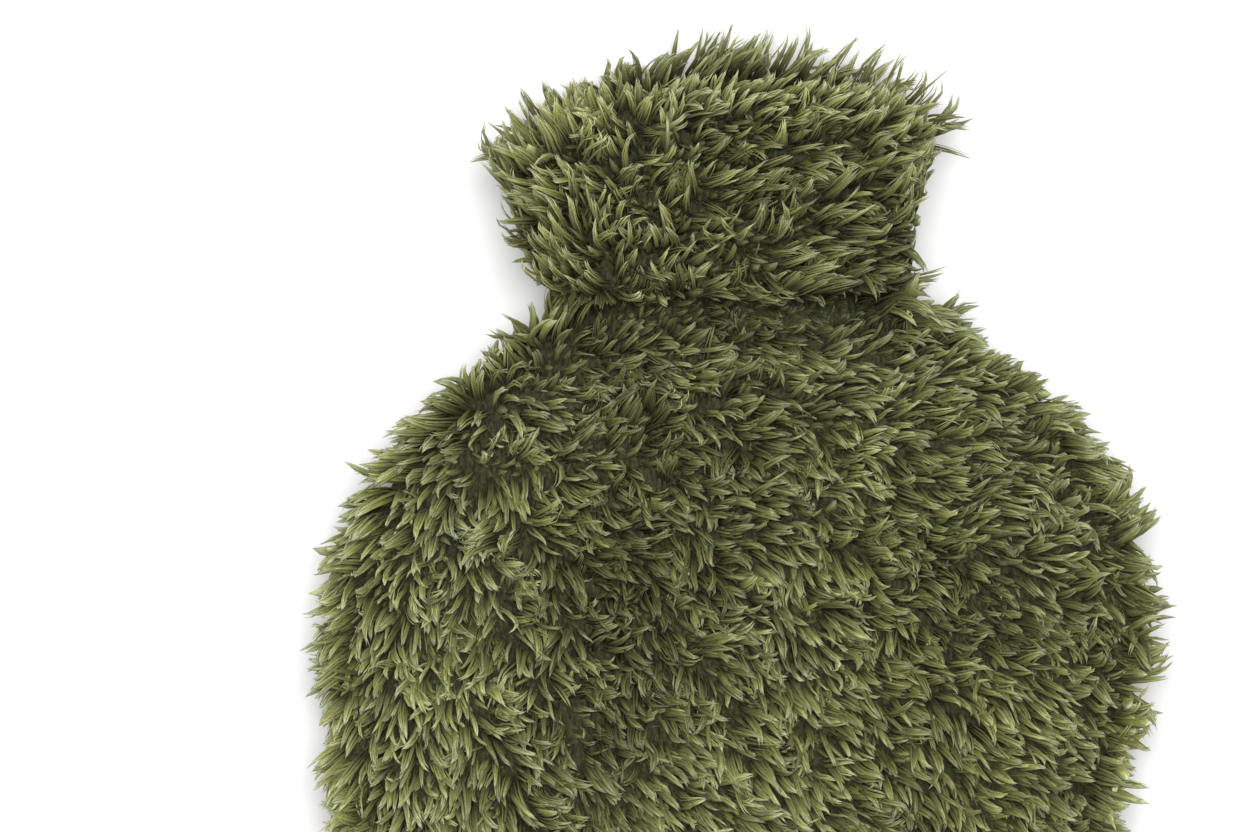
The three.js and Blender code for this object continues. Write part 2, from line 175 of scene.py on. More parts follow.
BODY_LIE = (
    Lie("right shoulder", 76, 80, 26, 12, 0.18),
    Lie("right of the neck", 47, 77, 12, 14, 0.02),
    Lie("right shoulder rim", 99, 50, 32, 12, 0.36),
    Lie("below the right shoulder", 64, 51, -6, 16, -0.26),
    Lie("right rim, high", 114, 28, 14, 14, 0.22),
    Lie("right rim, widest", 120, 1, -6, 20, 0.02),
    Lie("right side, widest", 92, 9, -14, 24, -0.26),
    Lie("dark dip on the right", 61, 7, -35, 34, -0.26),
    Lie("right rim, low", 111, -30, -22, 14, 0.36),
    Lie("right side, low", 91, -28, -30, 16, 0.15),
    Lie("lower right", 47, -28, -54, 16, -0.02),
    Lie("middle", 6, -4, -32, 24, 0.00),
    Lie("right of the middle", 26, 20, -58, 24, 0.05),
    Lie("above the middle", -11, 42, -25, 28, -0.32),
    Lie("under the collar", 6, 66, 8, 22, -0.06),
    Lie("under the collar, left", -29, 83, 40, 36, -0.16),
    Lie("messy, left of the middle", -35, 54, -20, 56, -0.26),
    Lie("lower middle", -14, -38, -50, 16, 0.26),
    Lie("swirl", -41, -4, -40, 56, -0.40),
    Lie("below the swirl", -44, -39, -52, 24, -0.04),
    Lie("left of the swirl", -76, -22, -76, 24, 0.12),
    Lie("left side, widest", -105, -4, -96, 24, 0.20),
    Lie("left rim, low", -117, -42, -112, 20, 0.80),
    Lie("left side", -90, 19, -82, 28, 0.18),
    Lie("left shoulder, curly", -88, 45, -100, 40, 0.20),
    Lie("left rim, widest", -116, 19, 215, 34, 0.62),
    Lie("left shoulder rim", -84, 66, 158, 34, 0.18),
    Lie("left of the neck", -60, 86, 82, 34, -0.12),
    Lie("left of the neck, low", -56, 60, -15, 40, 0.04),
    Lie("bottom middle", 0, -139, -76, 18, 0.04),
    Lie("bottom left", -52, -139, -96, 18, 0.08),
    Lie("bottom right", 76, -139, -46, 18, 0.02),
    Lie("bottom left corner", -95, -130, -130, 20, 0.10),
)

COLLAR_LIE = (
    Lie("left edge", -73, 136, 168, 14, 0.26),
    Lie("left side", -60, 119, 158, 18, 0.04),
    Lie("left side, low", -53, 99, 192, 20, -0.02),
    Lie("left top corner", -52, 144, 135, 18, 0.22),
    Lie("left part", -46, 122, 132, 20, 0.06),
    Lie("left part, high", -36, 138, 110, 22, 0.14),
    Lie("front fold, left", -29, 150, 70, 22, 0.40),
    Lie("left of the middle", -29, 112, 82, 24, 0.00),
    Lie("hem, left", -33, 97, -10, 36, -0.16),
    Lie("middle, low", -14, 108, 30, 26, -0.26),
    Lie("middle", -10, 130, 16, 22, -0.20),
    Lie("front fold, middle", 0, 148, 32, 20, 0.34),
    Lie("right of the middle", 8, 133, 10, 20, -0.26),
    Lie("right part, high", 22, 143, 28, 26, -0.10),
    Lie("right part", 30, 128, 22, 28, -0.24),
    Lie("hem, right", 24, 103, 2, 14, -0.16),
    Lie("front fold, right", 24, 152, 20, 20, 0.26),
    Lie("fold, far right", 44, 152, 4, 20, 0.38),
    Lie("right top corner", 60, 152, 58, 22, 0.18),
    Lie("right side, high", 44, 140, 10, 20, 0.06),
    Lie("right side", 60, 122, 12, 22, -0.14),
    Lie("right side, low", 48, 99, 10, 18, -0.26),
)

# Where (x, y) and how far round it (radius) the pile lies lower and darker, in millimetres, and the
# share of its length that is lost in the middle. Below 0 it stands out longer and paler. The darker
# colour is painted shade in the dips, and the paler one painted light where the pile stands out.
Dip = namedtuple("Dip", "place x y radius loss")

BODY_DIPS = (
    Dip("upper swirl", -38, 14, 14, 0.20),
    Dip("lower swirl", -38, -25, 10, 0.24),
    Dip("left shoulder", -82, 53, 9, 0.16),
    Dip("dark dip on the right", 60, 8, 11, 0.22),
    Dip("left of the neck", -50, 76, 11, 0.16),
    Dip("under the collar", 12, 72, 10, 0.12),
    Dip("left of the middle", -34, 50, 14, 0.15),
    Dip("right of the middle", 46, 30, 9, 0.14),
)

COLLAR_DIPS = (
    Dip("left end of the fold", -50, 148, 9, -0.40),
    Dip("left corner", -70, 138, 12, -0.42),
    Dip("right corner", 62, 152, 12, -0.34),
    Dip("recess at the hem, right", 42, 97, 7, 0.34),
    Dip("left side, low", -60, 108, 12, -0.25),
    Dip("right side, low", 54, 112, 12, -0.25),
    Dip("crease under the fold, left", -6, 143, 6, 0.30),
    Dip("crease under the fold", 11, 144, 6, 0.34),
    Dip("crease under the fold, right", 27, 144, 6, 0.28),
    Dip("hole left of the middle", -26, 118, 6, 0.2),
    Dip("bulge at the hem", 22, 100, 11, -0.15),
)


# ------------------------------------------------------------------ what a user would change


class CoverCloth(bpy.types.PropertyGroup):
    """Sizes and colours of the cloth under the pile."""

    thickness: FloatProperty(
        name="Thickness", description="Thickness of the knitted backing", default=1.4 * MM, unit="LENGTH",
    )
    # painted shade: the backing is far darker than the pile's olive, to stand for the deep shade under the
    # pile
    colour: FloatVectorProperty(
        name="Colour", description="Colour of the knitted backing", size=3, subtype="COLOR",
        default=(0.014, 0.015, 0.006), min=0, max=1,
    )


class CoverPile(bpy.types.PropertyGroup):
    """Sizes and colours of the pile."""

    length: FloatProperty(
        name="Length", description="Usual length of a lock", default=11.2 * MM, unit="LENGTH",
    )
    width: FloatProperty(
        name="Lock width", description="Usual width of a lock", default=2.2 * MM, unit="LENGTH",
    )
    spacing: FloatProperty(
        name="Spacing", description="Distance between locks on the front", default=2.86 * MM, unit="LENGTH",
    )
    strands: FloatProperty(
        name="Strands", description="Usual number of strands in a lock", default=2.2, min=1, max=9,
    )
    strand: FloatProperty(
        name="Strand width", description="Usual width of a strand", default=0.84 * MM, unit="LENGTH",
    )
    seed: IntProperty(name="Seed", description="Starts the random numbers", default=5, min=0)
    # painted shade: the root colour is dark to stand for the shade deep in the pile
    root: FloatVectorProperty(
        name="Root colour", description="Colour deep in the pile", size=3, subtype="COLOR",
        default=(0.030, 0.031, 0.007), min=0, max=1,
    )
    middle: FloatVectorProperty(
        name="Middle colour", description="Colour half way along a lock", size=3, subtype="COLOR",
        default=(0.178, 0.188, 0.054), min=0, max=1,
    )
    # painted light: the tip colour is pale where the tips catch the light
    tip: FloatVectorProperty(
        name="Tip colour", description="Colour at the tips", size=3, subtype="COLOR",
        default=(0.420, 0.445, 0.262), min=0, max=1,
    )


class CoverStage(bpy.types.PropertyGroup):
    """The floor, the light and the camera."""

    floor: FloatVectorProperty(
        name="Floor", description="Colour of the floor", size=3, subtype="COLOR",
        default=(0.82, 0.82, 0.82), min=0, max=1,
    )
    glow: FloatProperty(
        name="Floor glow", description="Strength of the floor's own light", default=0.1, min=0,
    )
    key: FloatProperty(name="Key light", description="Power of the main light", default=24.0, unit="POWER")
    fill: FloatProperty(name="Sky", description="Strength of the light from all round", default=0.48, min=0)
    distance: FloatProperty(
        name="Camera height", description="Height of the camera over the seam", default=1.2, unit="LENGTH",
    )
    view_width: FloatProperty(
        name="Width in view", description="Width that the picture takes in at the seam",
        default=364.9 * MM, unit="LENGTH",
    )


# ------------------------------------------------------------------ numbers


def mix(a, b, share):
    """A value the given share of the way from a to b."""
    return a + (b - a) * share


def smooth(value, low, high):
    """0 below low, 1 above high, with an S-shaped rise between them."""
    share = np.clip((value - low) / (high - low), 0, 1)
    return share * share * (3 - 2 * share)


def unit(vectors):
    """Vectors of length one."""
    return vectors / np.maximum(np.linalg.norm(vectors, axis=-1, keepdims=True), 1e-9)


def soft_noise(x, y, size, seed):
    """A smooth random value of about -1 to 1: the sum of 14 plane waves near that wavelength."""
    random = np.random.default_rng(seed)
    heading = random.uniform(0, 2 * math.pi, 14)
    wave = 2 * math.pi / size * random.uniform(0.6, 1.5, 14)
    phase = random.uniform(0, 2 * math.pi, 14)
    run = np.multiply.outer(x, np.cos(heading)) + np.multiply.outer(y, np.sin(heading))
    return np.sin(run * wave + phase).sum(-1) / math.sqrt(7)


# ------------------------------------------------------------------ the body's outline and heights


def middle_x(y):
    """Middle of the outline: it leans left at the neck and a little at the bottom."""
    neck = NECK_SHIFT * smooth(y, BOTTOM_Y + 192 * MM, BOTTOM_Y + 257 * MM)
    return neck + BOTTOM_SHIFT * (1 - smooth(y, BOTTOM_Y + 102 * MM, BOTTOM_Y + 162 * MM))


def smooth_max(a, b, rounding):
    """The larger of two values, with the corner between them rounded over."""
    return (a + b + np.hypot(a - b, rounding)) / 2


def half_width(y, inset, neck_inset):
    """Half width of the outline less an inset.

    Above the widest row it is a quarter of an ellipse that runs into the neck, the larger of the two
    with the corner rounded. Below it the side tapers and ends in a squarish round bottom.
    """
    above = y - WIDEST_Y
    neck = NECK_HALF_WIDTH - neck_inset
    rise = np.clip(above / (SHOULDER_RISE - inset), 0, 1)
    shoulder = smooth_max((HALF_WIDTH - inset) * np.sqrt(1 - rise * rise), neck, NECK_ROUNDING)
    fall = np.clip(-above / (WIDEST_Y - BOTTOM_Y - inset + BOTTOM_FLAT), 0, 1)
    taper = SIDE_TAPER * (np.hypot(above, TAPER_START) - TAPER_START)
    side = smooth_max(HALF_WIDTH - inset, neck, NECK_ROUNDING) - taper
    return np.where(above >= 0, shoulder, side * (1 - fall**BOTTOM_SQUARENESS) ** (1 / BOTTOM_ROUNDNESS))


def cloth_half(y):
    """Half width of the cloth: near the solid's at the sides, further inside it at the shoulders."""
    inset = mix(CLOTH_INSET, CLOTH_SHOULDER_INSET, smooth(y, 15 * MM, 76 * MM))
    return half_width(y, inset, CLOTH_NECK_INSET)


def cloth_middle(y):
    """Middle of the cloth: a little left of the solid's at the sides and right of it at the shoulders."""
    shoulder = smooth(y, 15 * MM, 75 * MM) * (1 - smooth(y, 93 * MM, 107 * MM))
    side = 1 - smooth(y, -15 * MM, 10 * MM)
    return middle_x(y) + CLOTH_SIDE_SHIFT * side + CLOTH_SHOULDER_SHIFT * shoulder


def cloth_outline(step=2 * MM):
    """The cloth's outline as evenly spaced points, left, bottom, right, and the outward normals there.

    The half width on both sides of the middle gives the line, in rows closer together at the bottom.
    It is then divided evenly. A normal is the line's heading, turned by a right angle.
    """
    turn = np.linspace(0, 1, 400)
    y = mix(NECK_END_Y, BOTTOM_Y + CLOTH_INSET, 1 - (1 - turn) ** 2.5)
    half = cloth_half(y)
    left = np.column_stack([cloth_middle(y) - half, y])
    right = np.column_stack([cloth_middle(y) + half, y])[::-1]
    line = np.concatenate([left, right])
    along = np.concatenate([[0], np.cumsum(np.linalg.norm(np.diff(line, axis=0), axis=1))])
    even = np.linspace(0, along[-1], int(along[-1] / step))
    point = np.column_stack([np.interp(even, along, line[:, 0]), np.interp(even, along, line[:, 1])])
    run = unit(np.gradient(point, axis=0))
    return point, np.column_stack([run[:, 1], -run[:, 0]])


def distance_inside(x, y, line):
    """Distance of points from a line, taken to the nearest of its points."""
    points = np.column_stack([np.ravel(x), np.ravel(y)])
    best = np.full(len(points), np.inf)
    for part in np.array_split(line, 8):
        gap = points[:, None] - part[None]
        best = np.minimum(best, np.sqrt((gap**2).sum(-1)).min(1))
    return best.reshape(np.shape(x))


class HeightMap:
    """Heights on an even grid, read between its points."""

    def __init__(self, low, step, heights):
        """Takes the grid's low corner, the step between its points and the heights there."""
        self.low = low
        self.step = step
        self.heights = heights

    def at(self, x, y):
        """Height at points, mixed from the four grid points round each."""
        rows, columns = self.heights.shape
        u = np.clip((x - self.low[0]) / self.step, 0, rows - 1.001)
        v = np.clip((y - self.low[1]) / self.step, 0, columns - 1.001)
        i, j = u.astype(int), v.astype(int)
        fu, fv = u - i, v - j
        h = self.heights
        near = mix(h[i, j], h[i + 1, j], fu)
        return mix(near, mix(h[i, j + 1], h[i + 1, j + 1], fu), fv)

    def normal(self, x, y, reach=2 * MM):
        """Upward normal at points, from the slopes over a short reach."""
        dx = (self.at(x + reach, y) - self.at(x - reach, y)) / (2 * reach)
        dy = (self.at(x, y + reach) - self.at(x, y - reach)) / (2 * reach)
        return unit(np.stack([-dx, -dy, np.ones_like(dx)], -1))

    def blurred(self, size):
        """The same map, averaged with bell-shaped weights of that size along both axes."""
        reach = int(3 * size / self.step)
        bell = np.exp(-0.5 * (np.arange(-reach, reach + 1) * self.step / size) ** 2)
        bell /= bell.sum()
        padded = np.pad(self.heights, reach, mode="edge")
        for axis in (0, 1):
            padded = np.apply_along_axis(lambda row: np.convolve(row, bell, mode="same"), axis, padded)
        return HeightMap(self.low, self.step, padded[reach:-reach, reach:-reach])


def map_of_node(name, step=1.5 * MM, margin=12 * MM):
    """Height map of a frame node's upper faces: each face is sampled evenly and the highest sample wins."""
    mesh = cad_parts[name].data
    points = np.empty(len(mesh.vertices) * 3)
    mesh.vertices.foreach_get("co", points)
    mesh.calc_loop_triangles()
    corners = np.empty(len(mesh.loop_triangles) * 3, int)
    mesh.loop_triangles.foreach_get("vertices", corners)
    faces = points.reshape(-1, 3)[corners.reshape(-1, 3)]
    faces = faces[np.cross(faces[:, 1] - faces[:, 0], faces[:, 2] - faces[:, 0])[:, 2] > 0]
    a, b = np.meshgrid(np.linspace(0, 1, 12), np.linspace(0, 1, 12))
    inside = a + b <= 1.001
    weights = np.column_stack([a[inside], b[inside], 1 - a[inside] - b[inside]])
    samples = np.einsum("sk,fkc->fsc", weights, faces).reshape(-1, 3)
    low = samples[:, :2].min(0) - margin
    size = np.ceil((samples[:, :2].max(0) + margin - low) / step).astype(int) + 1
    cells = np.round((samples[:, :2] - low) / step).astype(int)
    heights = np.full(size, SEAM_Z)
    np.maximum.at(heights, (cells[:, 0], cells[:, 1]), samples[:, 2])
    return HeightMap(low, step, heights)


ENVELOPE = map_of_node("front_panel")
CLOTH_LINE, CLOTH_NORMAL = cloth_outline()


def front_cloth_map():
    """Height map of the front cloth.

    It is the solid's smoothed top less the pile's depth, brought down to the seam round the edge by a
    quarter of a circle. At the open end of the neck only the distance from the sides counts.
    """
    soft = ENVELOPE.blurred(CLOTH_SOFTNESS)
    rows, columns = soft.heights.shape
    along_x = soft.low[0] + np.arange(rows) * soft.step
    along_y = soft.low[1] + np.arange(columns) * soft.step
    x, y = np.meshgrid(along_x, along_y, indexing="ij")
    inside = np.abs(x - cloth_middle(y)) < cloth_half(y)
    distance = np.where(inside, distance_inside(x, y, CLOTH_LINE), 0)
    from_side = np.abs(cloth_half(y) - np.abs(x - cloth_middle(y))) * inside
    distance = np.where(y > NECK_END_Y - 10 * MM, from_side, distance)
    share = np.clip(distance / EDGE_ROUNDING, 0, 1)
    edge = np.sqrt(1 - (1 - share) ** 2)
    top = np.maximum(soft.heights - CLOTH_DEPTH, SEAM_Z + LEAST_RISE)
    return HeightMap(soft.low, soft.step, mix(SEAM_Z, top, edge))


FRONT = front_cloth_map()


def back_cloth_height(x, y):
    """Height of the back cloth: level, higher at the neck, rounded up to the seam by a quarter circle."""
    inside = np.abs(x - cloth_middle(y)) < cloth_half(y)
    distance = np.where(inside, cloth_half(y) - np.abs(x - cloth_middle(y)), 0)
    distance = np.minimum(distance, distance_inside(x, y, CLOTH_LINE))
    share = np.clip(distance / EDGE_ROUNDING, 0, 1)
    low = UNDER_Z + UNDER_NECK_RISE * smooth(y, NECK_END_Y - 47 * MM, NECK_END_Y - 21 * MM)
    return mix(low, SEAM_Z - 1.6 * MM, 1 - np.sqrt(1 - (1 - share) ** 2))


# ------------------------------------------------------------------ meshes


class MeshParts:
    """Points, face corners and their two flat layouts, gathered from groups of like bodies."""

    def __init__(self):
        """Starts with nothing gathered."""
        self.points, self.corners, self.starts = [], [], []
        self.lock_uv, self.tone = [], []
        self.cell_uv, self.cells = [], []
        self.count = self.corner_count = self.bodies = 0

    def add(self, points, corners, sizes, uv, tone):
        """Adds like bodies: points (bodies, n, 3), one body's corners, sizes and uv, a tone for each."""
        bodies, per_body = points.shape[:2]
        shifts = self.count + np.arange(bodies)[:, None] * per_body
        self.points.append(points.reshape(-1, 3))
        self.corners.append((corners[None] + shifts).ravel())
        offsets = np.concatenate([[0], np.cumsum(sizes)[:-1]])
        first = self.corner_count + np.arange(bodies)[:, None] * len(corners)
        self.starts.append((offsets[None] + first).ravel())
        self.lock_uv.append(np.broadcast_to(uv["lock"], (bodies, *uv["lock"].shape)).reshape(-1, 2))
        self.cell_uv.append(np.broadcast_to(uv["cell"], (bodies, *uv["cell"].shape)).reshape(-1, 2))
        self.cells.append(np.repeat(self.bodies + np.arange(bodies), len(corners)))
        self.tone.append(np.repeat(tone, per_body))
        self.count += bodies * per_body
        self.corner_count += bodies * len(corners)
        self.bodies += bodies

    def mesh(self, name):
        """One mesh of everything gathered. The second layout gives each body its own cell of a square."""
        points = np.concatenate(self.points)
        corners = np.concatenate(self.corners)
        starts = np.concatenate(self.starts)
        mesh = bpy.data.meshes.new(name)
        mesh.vertices.add(len(points))
        mesh.vertices.foreach_set("co", points.astype(np.float32).ravel())
        mesh.loops.add(len(corners))
        mesh.loops.foreach_set("vertex_index", corners.astype(np.int32))
        mesh.polygons.add(len(starts))
        mesh.polygons.foreach_set("loop_start", starts.astype(np.int32))
        mesh.update(calc_edges=True)
        mesh.polygons.foreach_set("use_smooth", np.ones(len(starts), bool))
        lock = mesh.uv_layers.new(name="Lock")
        lock.uv.foreach_set("vector", np.concatenate(self.lock_uv).astype(np.float32).ravel())
        columns = math.ceil(math.sqrt(self.bodies))
        cells = np.concatenate(self.cells)
        corner = np.column_stack([cells % columns, cells // columns])
        baked = mesh.uv_layers.new(name="OFBake")
        place = (corner + np.concatenate(self.cell_uv)) / columns
        baked.uv.foreach_set("vector", place.astype(np.float32).ravel())
        tone = mesh.attributes.new("tone", "FLOAT", "POINT")
        tone.data.foreach_set("value", np.concatenate(self.tone).astype(np.float32))
        mesh.validate()
        return mesh


def taper_topology(rings, section):
    """Face corners, face sizes and layouts of one tapering body: rings of points and a single tip point.

    In the second layout the root's face lies under the walls, so that nothing in a cell overlaps.
    """
    count = len(section)
    ring, side = np.meshgrid(np.arange(rings - 2), np.arange(count), indexing="ij")
    ring, side = ring.ravel(), side.ravel()
    following = (side + 1) % count
    a, b = ring * count + side, ring * count + following
    walls = np.column_stack([a, b, b + count, a + count])
    u, v = side / count, ring / (rings - 1)
    du, dv = 1 / count, 1 / (rings - 1)
    wall_uv = np.stack([
        np.column_stack([u, v]), np.column_stack([u + du, v]),
        np.column_stack([u + du, v + dv]), np.column_stack([u, v + dv]),
    ], 1)
    side = np.arange(count)
    last = (rings - 2) * count
    tip_index = (rings - 1) * count
    tips = np.column_stack([last + side, last + (side + 1) % count, np.full(count, tip_index)])
    u, v = side / count, 1 - dv
    tip_uv = np.stack([
        np.column_stack([u, np.full(count, v)]), np.column_stack([u + du, np.full(count, v)]),
        np.column_stack([u + du / 2, np.ones(count)]),
    ], 1)
    root = side[::-1]
    angle = 2 * math.pi * root / count
    root_cell = np.column_stack([0.5 + 0.42 * np.cos(angle), 0.09 + 0.05 * np.sin(angle)])
    corners = np.concatenate([walls.ravel(), tips.ravel(), root])
    sizes = np.concatenate([np.full(len(walls), 4), np.full(count, 3), [count]])
    root_uv = np.column_stack([root / count, root * 0])
    lock_uv = np.concatenate([wall_uv.reshape(-1, 2), tip_uv.reshape(-1, 2), root_uv])
    cell_uv = np.concatenate([lock_uv[:-count] * [0.86, 0.76] + [0.07, 0.19], root_cell])
    return corners, sizes, {"lock": lock_uv, "cell": cell_uv}


# Sections (across, up) and widths are in half widths, places in lengths. BELLY says how much of their
# distance from the lock's line the strands still have at their places.
CORE_SECTION = np.array([(1, 0), (0.1, 0.56), (-1, 0), (-0.1, -0.36)])
CORE_WIDTHS = np.array([0.5, 0.92, 1.0, 0.9, 0.58, 0])
CORE_PLACES = np.array([0, 0.25, 0.45, 0.65, 0.83, 0.98])
STRAND_SECTION = np.array([(1, -0.28), (0, 0.55), (-1, -0.28)])
STRAND_WIDTHS = np.array([0.7, 1.0, 0.96, 0.72, 0])
STRAND_PLACES = np.array([0, 0.32, 0.58, 0.82, 1])
BELLY = np.array([1.0, 1.0, 0.84, 0.54, 0.18])
SHORT_WIDTHS = np.array([0.8, 1.0, 0])
SHORT_PLACES = np.array([0, 0.5, 1])
STRIDES = 30  # of the running sum along a lock
OVERRUN = 1.2  # where it ends, in lengths of the lock


def lock_lines(lock, places):
    """Points of locks at places along them, with the directions across and over them there.

    The angle to the cloth eases from rise to fall and then adds the curl of the tip. The heading
    turns by the sway and swings by the wave. The line is the running sum of the headings.
    """
    fine = np.linspace(0, OVERRUN, STRIDES + 1)
    angle = lock["rise"][:, None] + (lock["fall"] - lock["rise"])[:, None] * fine**0.75
    angle = angle + lock["curl"][:, None] * smooth(fine, 0.45, OVERRUN)
    swing = np.sin(5.2 * fine + lock["phase"][:, None]) - np.sin(lock["phase"][:, None])
    turn = lock["yaw"][:, None] + lock["sway"][:, None] * fine**2 + lock["wave"][:, None] * swing
    side = np.cross(lock["comb"], lock["up"])
    level = np.cos(turn)[..., None] * lock["comb"][:, None] + np.sin(turn)[..., None] * side[:, None]
    ahead = np.cos(angle)[..., None] * level + np.sin(angle)[..., None] * lock["up"][:, None]
    stride = lock["length"][:, None, None] * OVERRUN / STRIDES * (ahead[:, 1:] + ahead[:, :-1]) / 2
    line = np.concatenate([np.zeros_like(stride[:, :1]), np.cumsum(stride, 1)], 1) + lock["root"][:, None]
    at = np.clip(places / OVERRUN * STRIDES, 0, STRIDES - 0.001)
    low = at.astype(int)
    share = (at - low)[..., None]
    index = low[..., None]
    point = mix(np.take_along_axis(line, index, 1), np.take_along_axis(line, index + 1, 1), share)
    forward = unit(mix(np.take_along_axis(ahead, index, 1), np.take_along_axis(ahead, index + 1, 1), share))
    across = unit(side[:, None] - (side[:, None] * forward).sum(-1, keepdims=True) * forward)
    over = np.cross(across, forward)
    roll = (lock["roll"][:, None] + lock["twist"][:, None] * places)[..., None]
    return point, *rolled(across, over, roll)


def rolled(across, over, angle):
    """Turns the two directions of a section about the line that it runs along."""
    c, s = np.cos(angle), np.sin(angle)
    return c * across + s * over, c * over - s * across


def add_tapers(parts, line, across, over, half, tone, section, widths, grain):
    """Adds a tapering body along each line: a section set across it, closed to a point at the end.

    Points stop a little over the floor, at uneven heights, so that no body is pressed quite flat.
    """
    size = (half[:, None] * widths)[:, :-1, None, None]
    offset = across[:, :-1, None] * section[:, 0, None] + over[:, :-1, None] * section[:, 1, None]
    ring = line[:, :-1, None] + offset * size
    points = np.concatenate([ring.reshape(len(ring), -1, 3), line[:, -1:]], 1)
    points[..., 2] = np.maximum(points[..., 2], LOWEST + 0.04 * MM * (np.arange(points.shape[1]) % 3))
    corners, sizes, uv = taper_topology(line.shape[1], section)
    uv = {"lock": uv["lock"] * [grain, 1], "cell": uv["cell"]}
    parts.add(points, corners, sizes, uv, tone)


def picked(lock, index):
    """The same facts for some of the locks, or for some of them several times."""
    return {name: values[index] for name, values in lock.items()}


def add_cores(parts, lock, widen=1.0):
    """Adds the ridged core of each lock."""
    places = np.broadcast_to(CORE_PLACES, (len(lock["tone"]), len(CORE_PLACES)))
    line, across, over = lock_lines(lock, places)
    half = lock["width"] / 2 * 0.86 * widen
    add_tapers(parts, line, across, over, half, lock["tone"], CORE_SECTION, CORE_WIDTHS, 1.0)


def add_short_pile(parts, lock):
    """Adds the short pile that fills the gaps between the locks: each body is a core with a single bend."""
    places = np.broadcast_to(SHORT_PLACES, (len(lock["tone"]), len(SHORT_PLACES)))
    line, across, over = lock_lines(lock, places)
    half = lock["width"] * 0.55
    add_tapers(parts, line, across, over, half, lock["tone"], STRAND_SECTION, SHORT_WIDTHS, 1.0)


def add_strands(parts, lock, pile, random, finer=1.0):
    """Adds the strands of each lock, which start apart in the cloth and close in on its tip.

    A strand's line is the lock's line, moved by the strand's own place in the bundle: across it, along
    the combing and up its rounded back, each times the belly's curve, which falls to nearly nothing at
    the tip. Each strand ends at its own share of the length. Finer strands are more in number.
    """
    usual = lock["width"] / pile.width * pile.strands * finer
    strands = np.clip(np.round(usual + random.uniform(-0.5, 0.5, len(usual))), 1, 9).astype(int)
    fine = picked(lock, np.repeat(np.arange(len(strands)), strands))
    count = len(fine["tone"])
    order = np.arange(count) - np.repeat(np.cumsum(strands) - strands, strands)
    place = (order + 0.5) / np.repeat(strands, strands) * 2 - 1 + random.normal(0, 0.12, count)
    reach = random.uniform(0.86, 1.08, count) - 0.07 * np.abs(place)
    fine["sway"] = fine["sway"] + random.normal(0, 0.09, count)
    fine["curl"] = fine["curl"] + random.normal(0, 0.14, count)
    line, across, over = lock_lines(fine, STRAND_PLACES * reach[:, None])
    half = fine["width"] / 2
    loose = random.normal(0, 0.18, count)[:, None] * STRAND_PLACES**2
    sideways = (place[:, None] * BELLY + loose) * half[:, None]
    along = random.uniform(-1, 1, count)[:, None] * BELLY * half[:, None]
    lift = (0.8 * (1 - place**2) + random.uniform(-0.15, 0.2, count))[:, None] * BELLY * half[:, None]
    line = line + across * sideways[..., None] + fine["comb"][:, None] * along[..., None]
    line = line + over * lift[..., None]
    forward = unit(np.gradient(line, axis=1))
    across = unit(across - (across * forward).sum(-1, keepdims=True) * forward)
    over = np.cross(across, forward)
    tilt = (0.85 * place + random.normal(0, 0.28, count))[:, None, None]
    across, over = rolled(across, over, tilt)
    half_strand = pile.strand / 2 / finer**0.8 * np.exp(random.normal(0, 0.28, count))
    # painted shade and light: strands at a lock's sides are darker, those on its rounded back paler
    tone = np.clip(fine["tone"] + 0.13 - 0.38 * place**2 + random.normal(0, 0.05, count), 0, 1)
    add_tapers(parts, line, across, over, half_strand, tone, STRAND_SECTION, STRAND_WIDTHS, 0.4)


def add_locks(parts, lock, pile, random, finer=1.0):
    """Adds locks whole: a narrow core with strands round it. Finer strands go with a narrower core."""
    add_cores(parts, lock, 0.82 / finer)
    add_strands(parts, lock, pile, random, finer)


# ------------------------------------------------------------------ where the locks grow


def lie_of_pile(table, x, y, reach=BODY_REACH):
    """Heading and stray in radians and shade at points: the table's rows mixed with bell-shaped weights."""
    places = np.array([(row.x, row.y) for row in table]) * MM
    heading, stray = (np.radians([getattr(row, name) for row in table]) for name in ("heading", "stray"))
    gap = ((np.stack([x, y], -1)[:, None] - places) ** 2).sum(-1)
    weight = np.exp(-0.5 * gap / reach**2) + 1e-12
    weight /= weight.sum(1, keepdims=True)
    mixed = np.arctan2(weight @ np.sin(heading), weight @ np.cos(heading))
    return mixed, weight @ stray, weight @ np.array([row.shade for row in table])


def dip_at(table, x, y):
    """How much the pile is lowered at points: the sum of the bell-shaped dips there."""
    depth = np.zeros(len(x))
    for dip in table:
        gap = (x - dip.x * MM) ** 2 + (y - dip.y * MM) ** 2
        depth = depth + dip.loss * np.exp(-0.5 * gap / (dip.radius * MM) ** 2)
    return depth


def turned(lock, angle):
    """Turns the combing direction of locks about the cloth's normal."""
    side = np.cross(lock["up"], lock["comb"])
    lock["comb"] = np.cos(angle)[:, None] * lock["comb"] + np.sin(angle)[:, None] * side


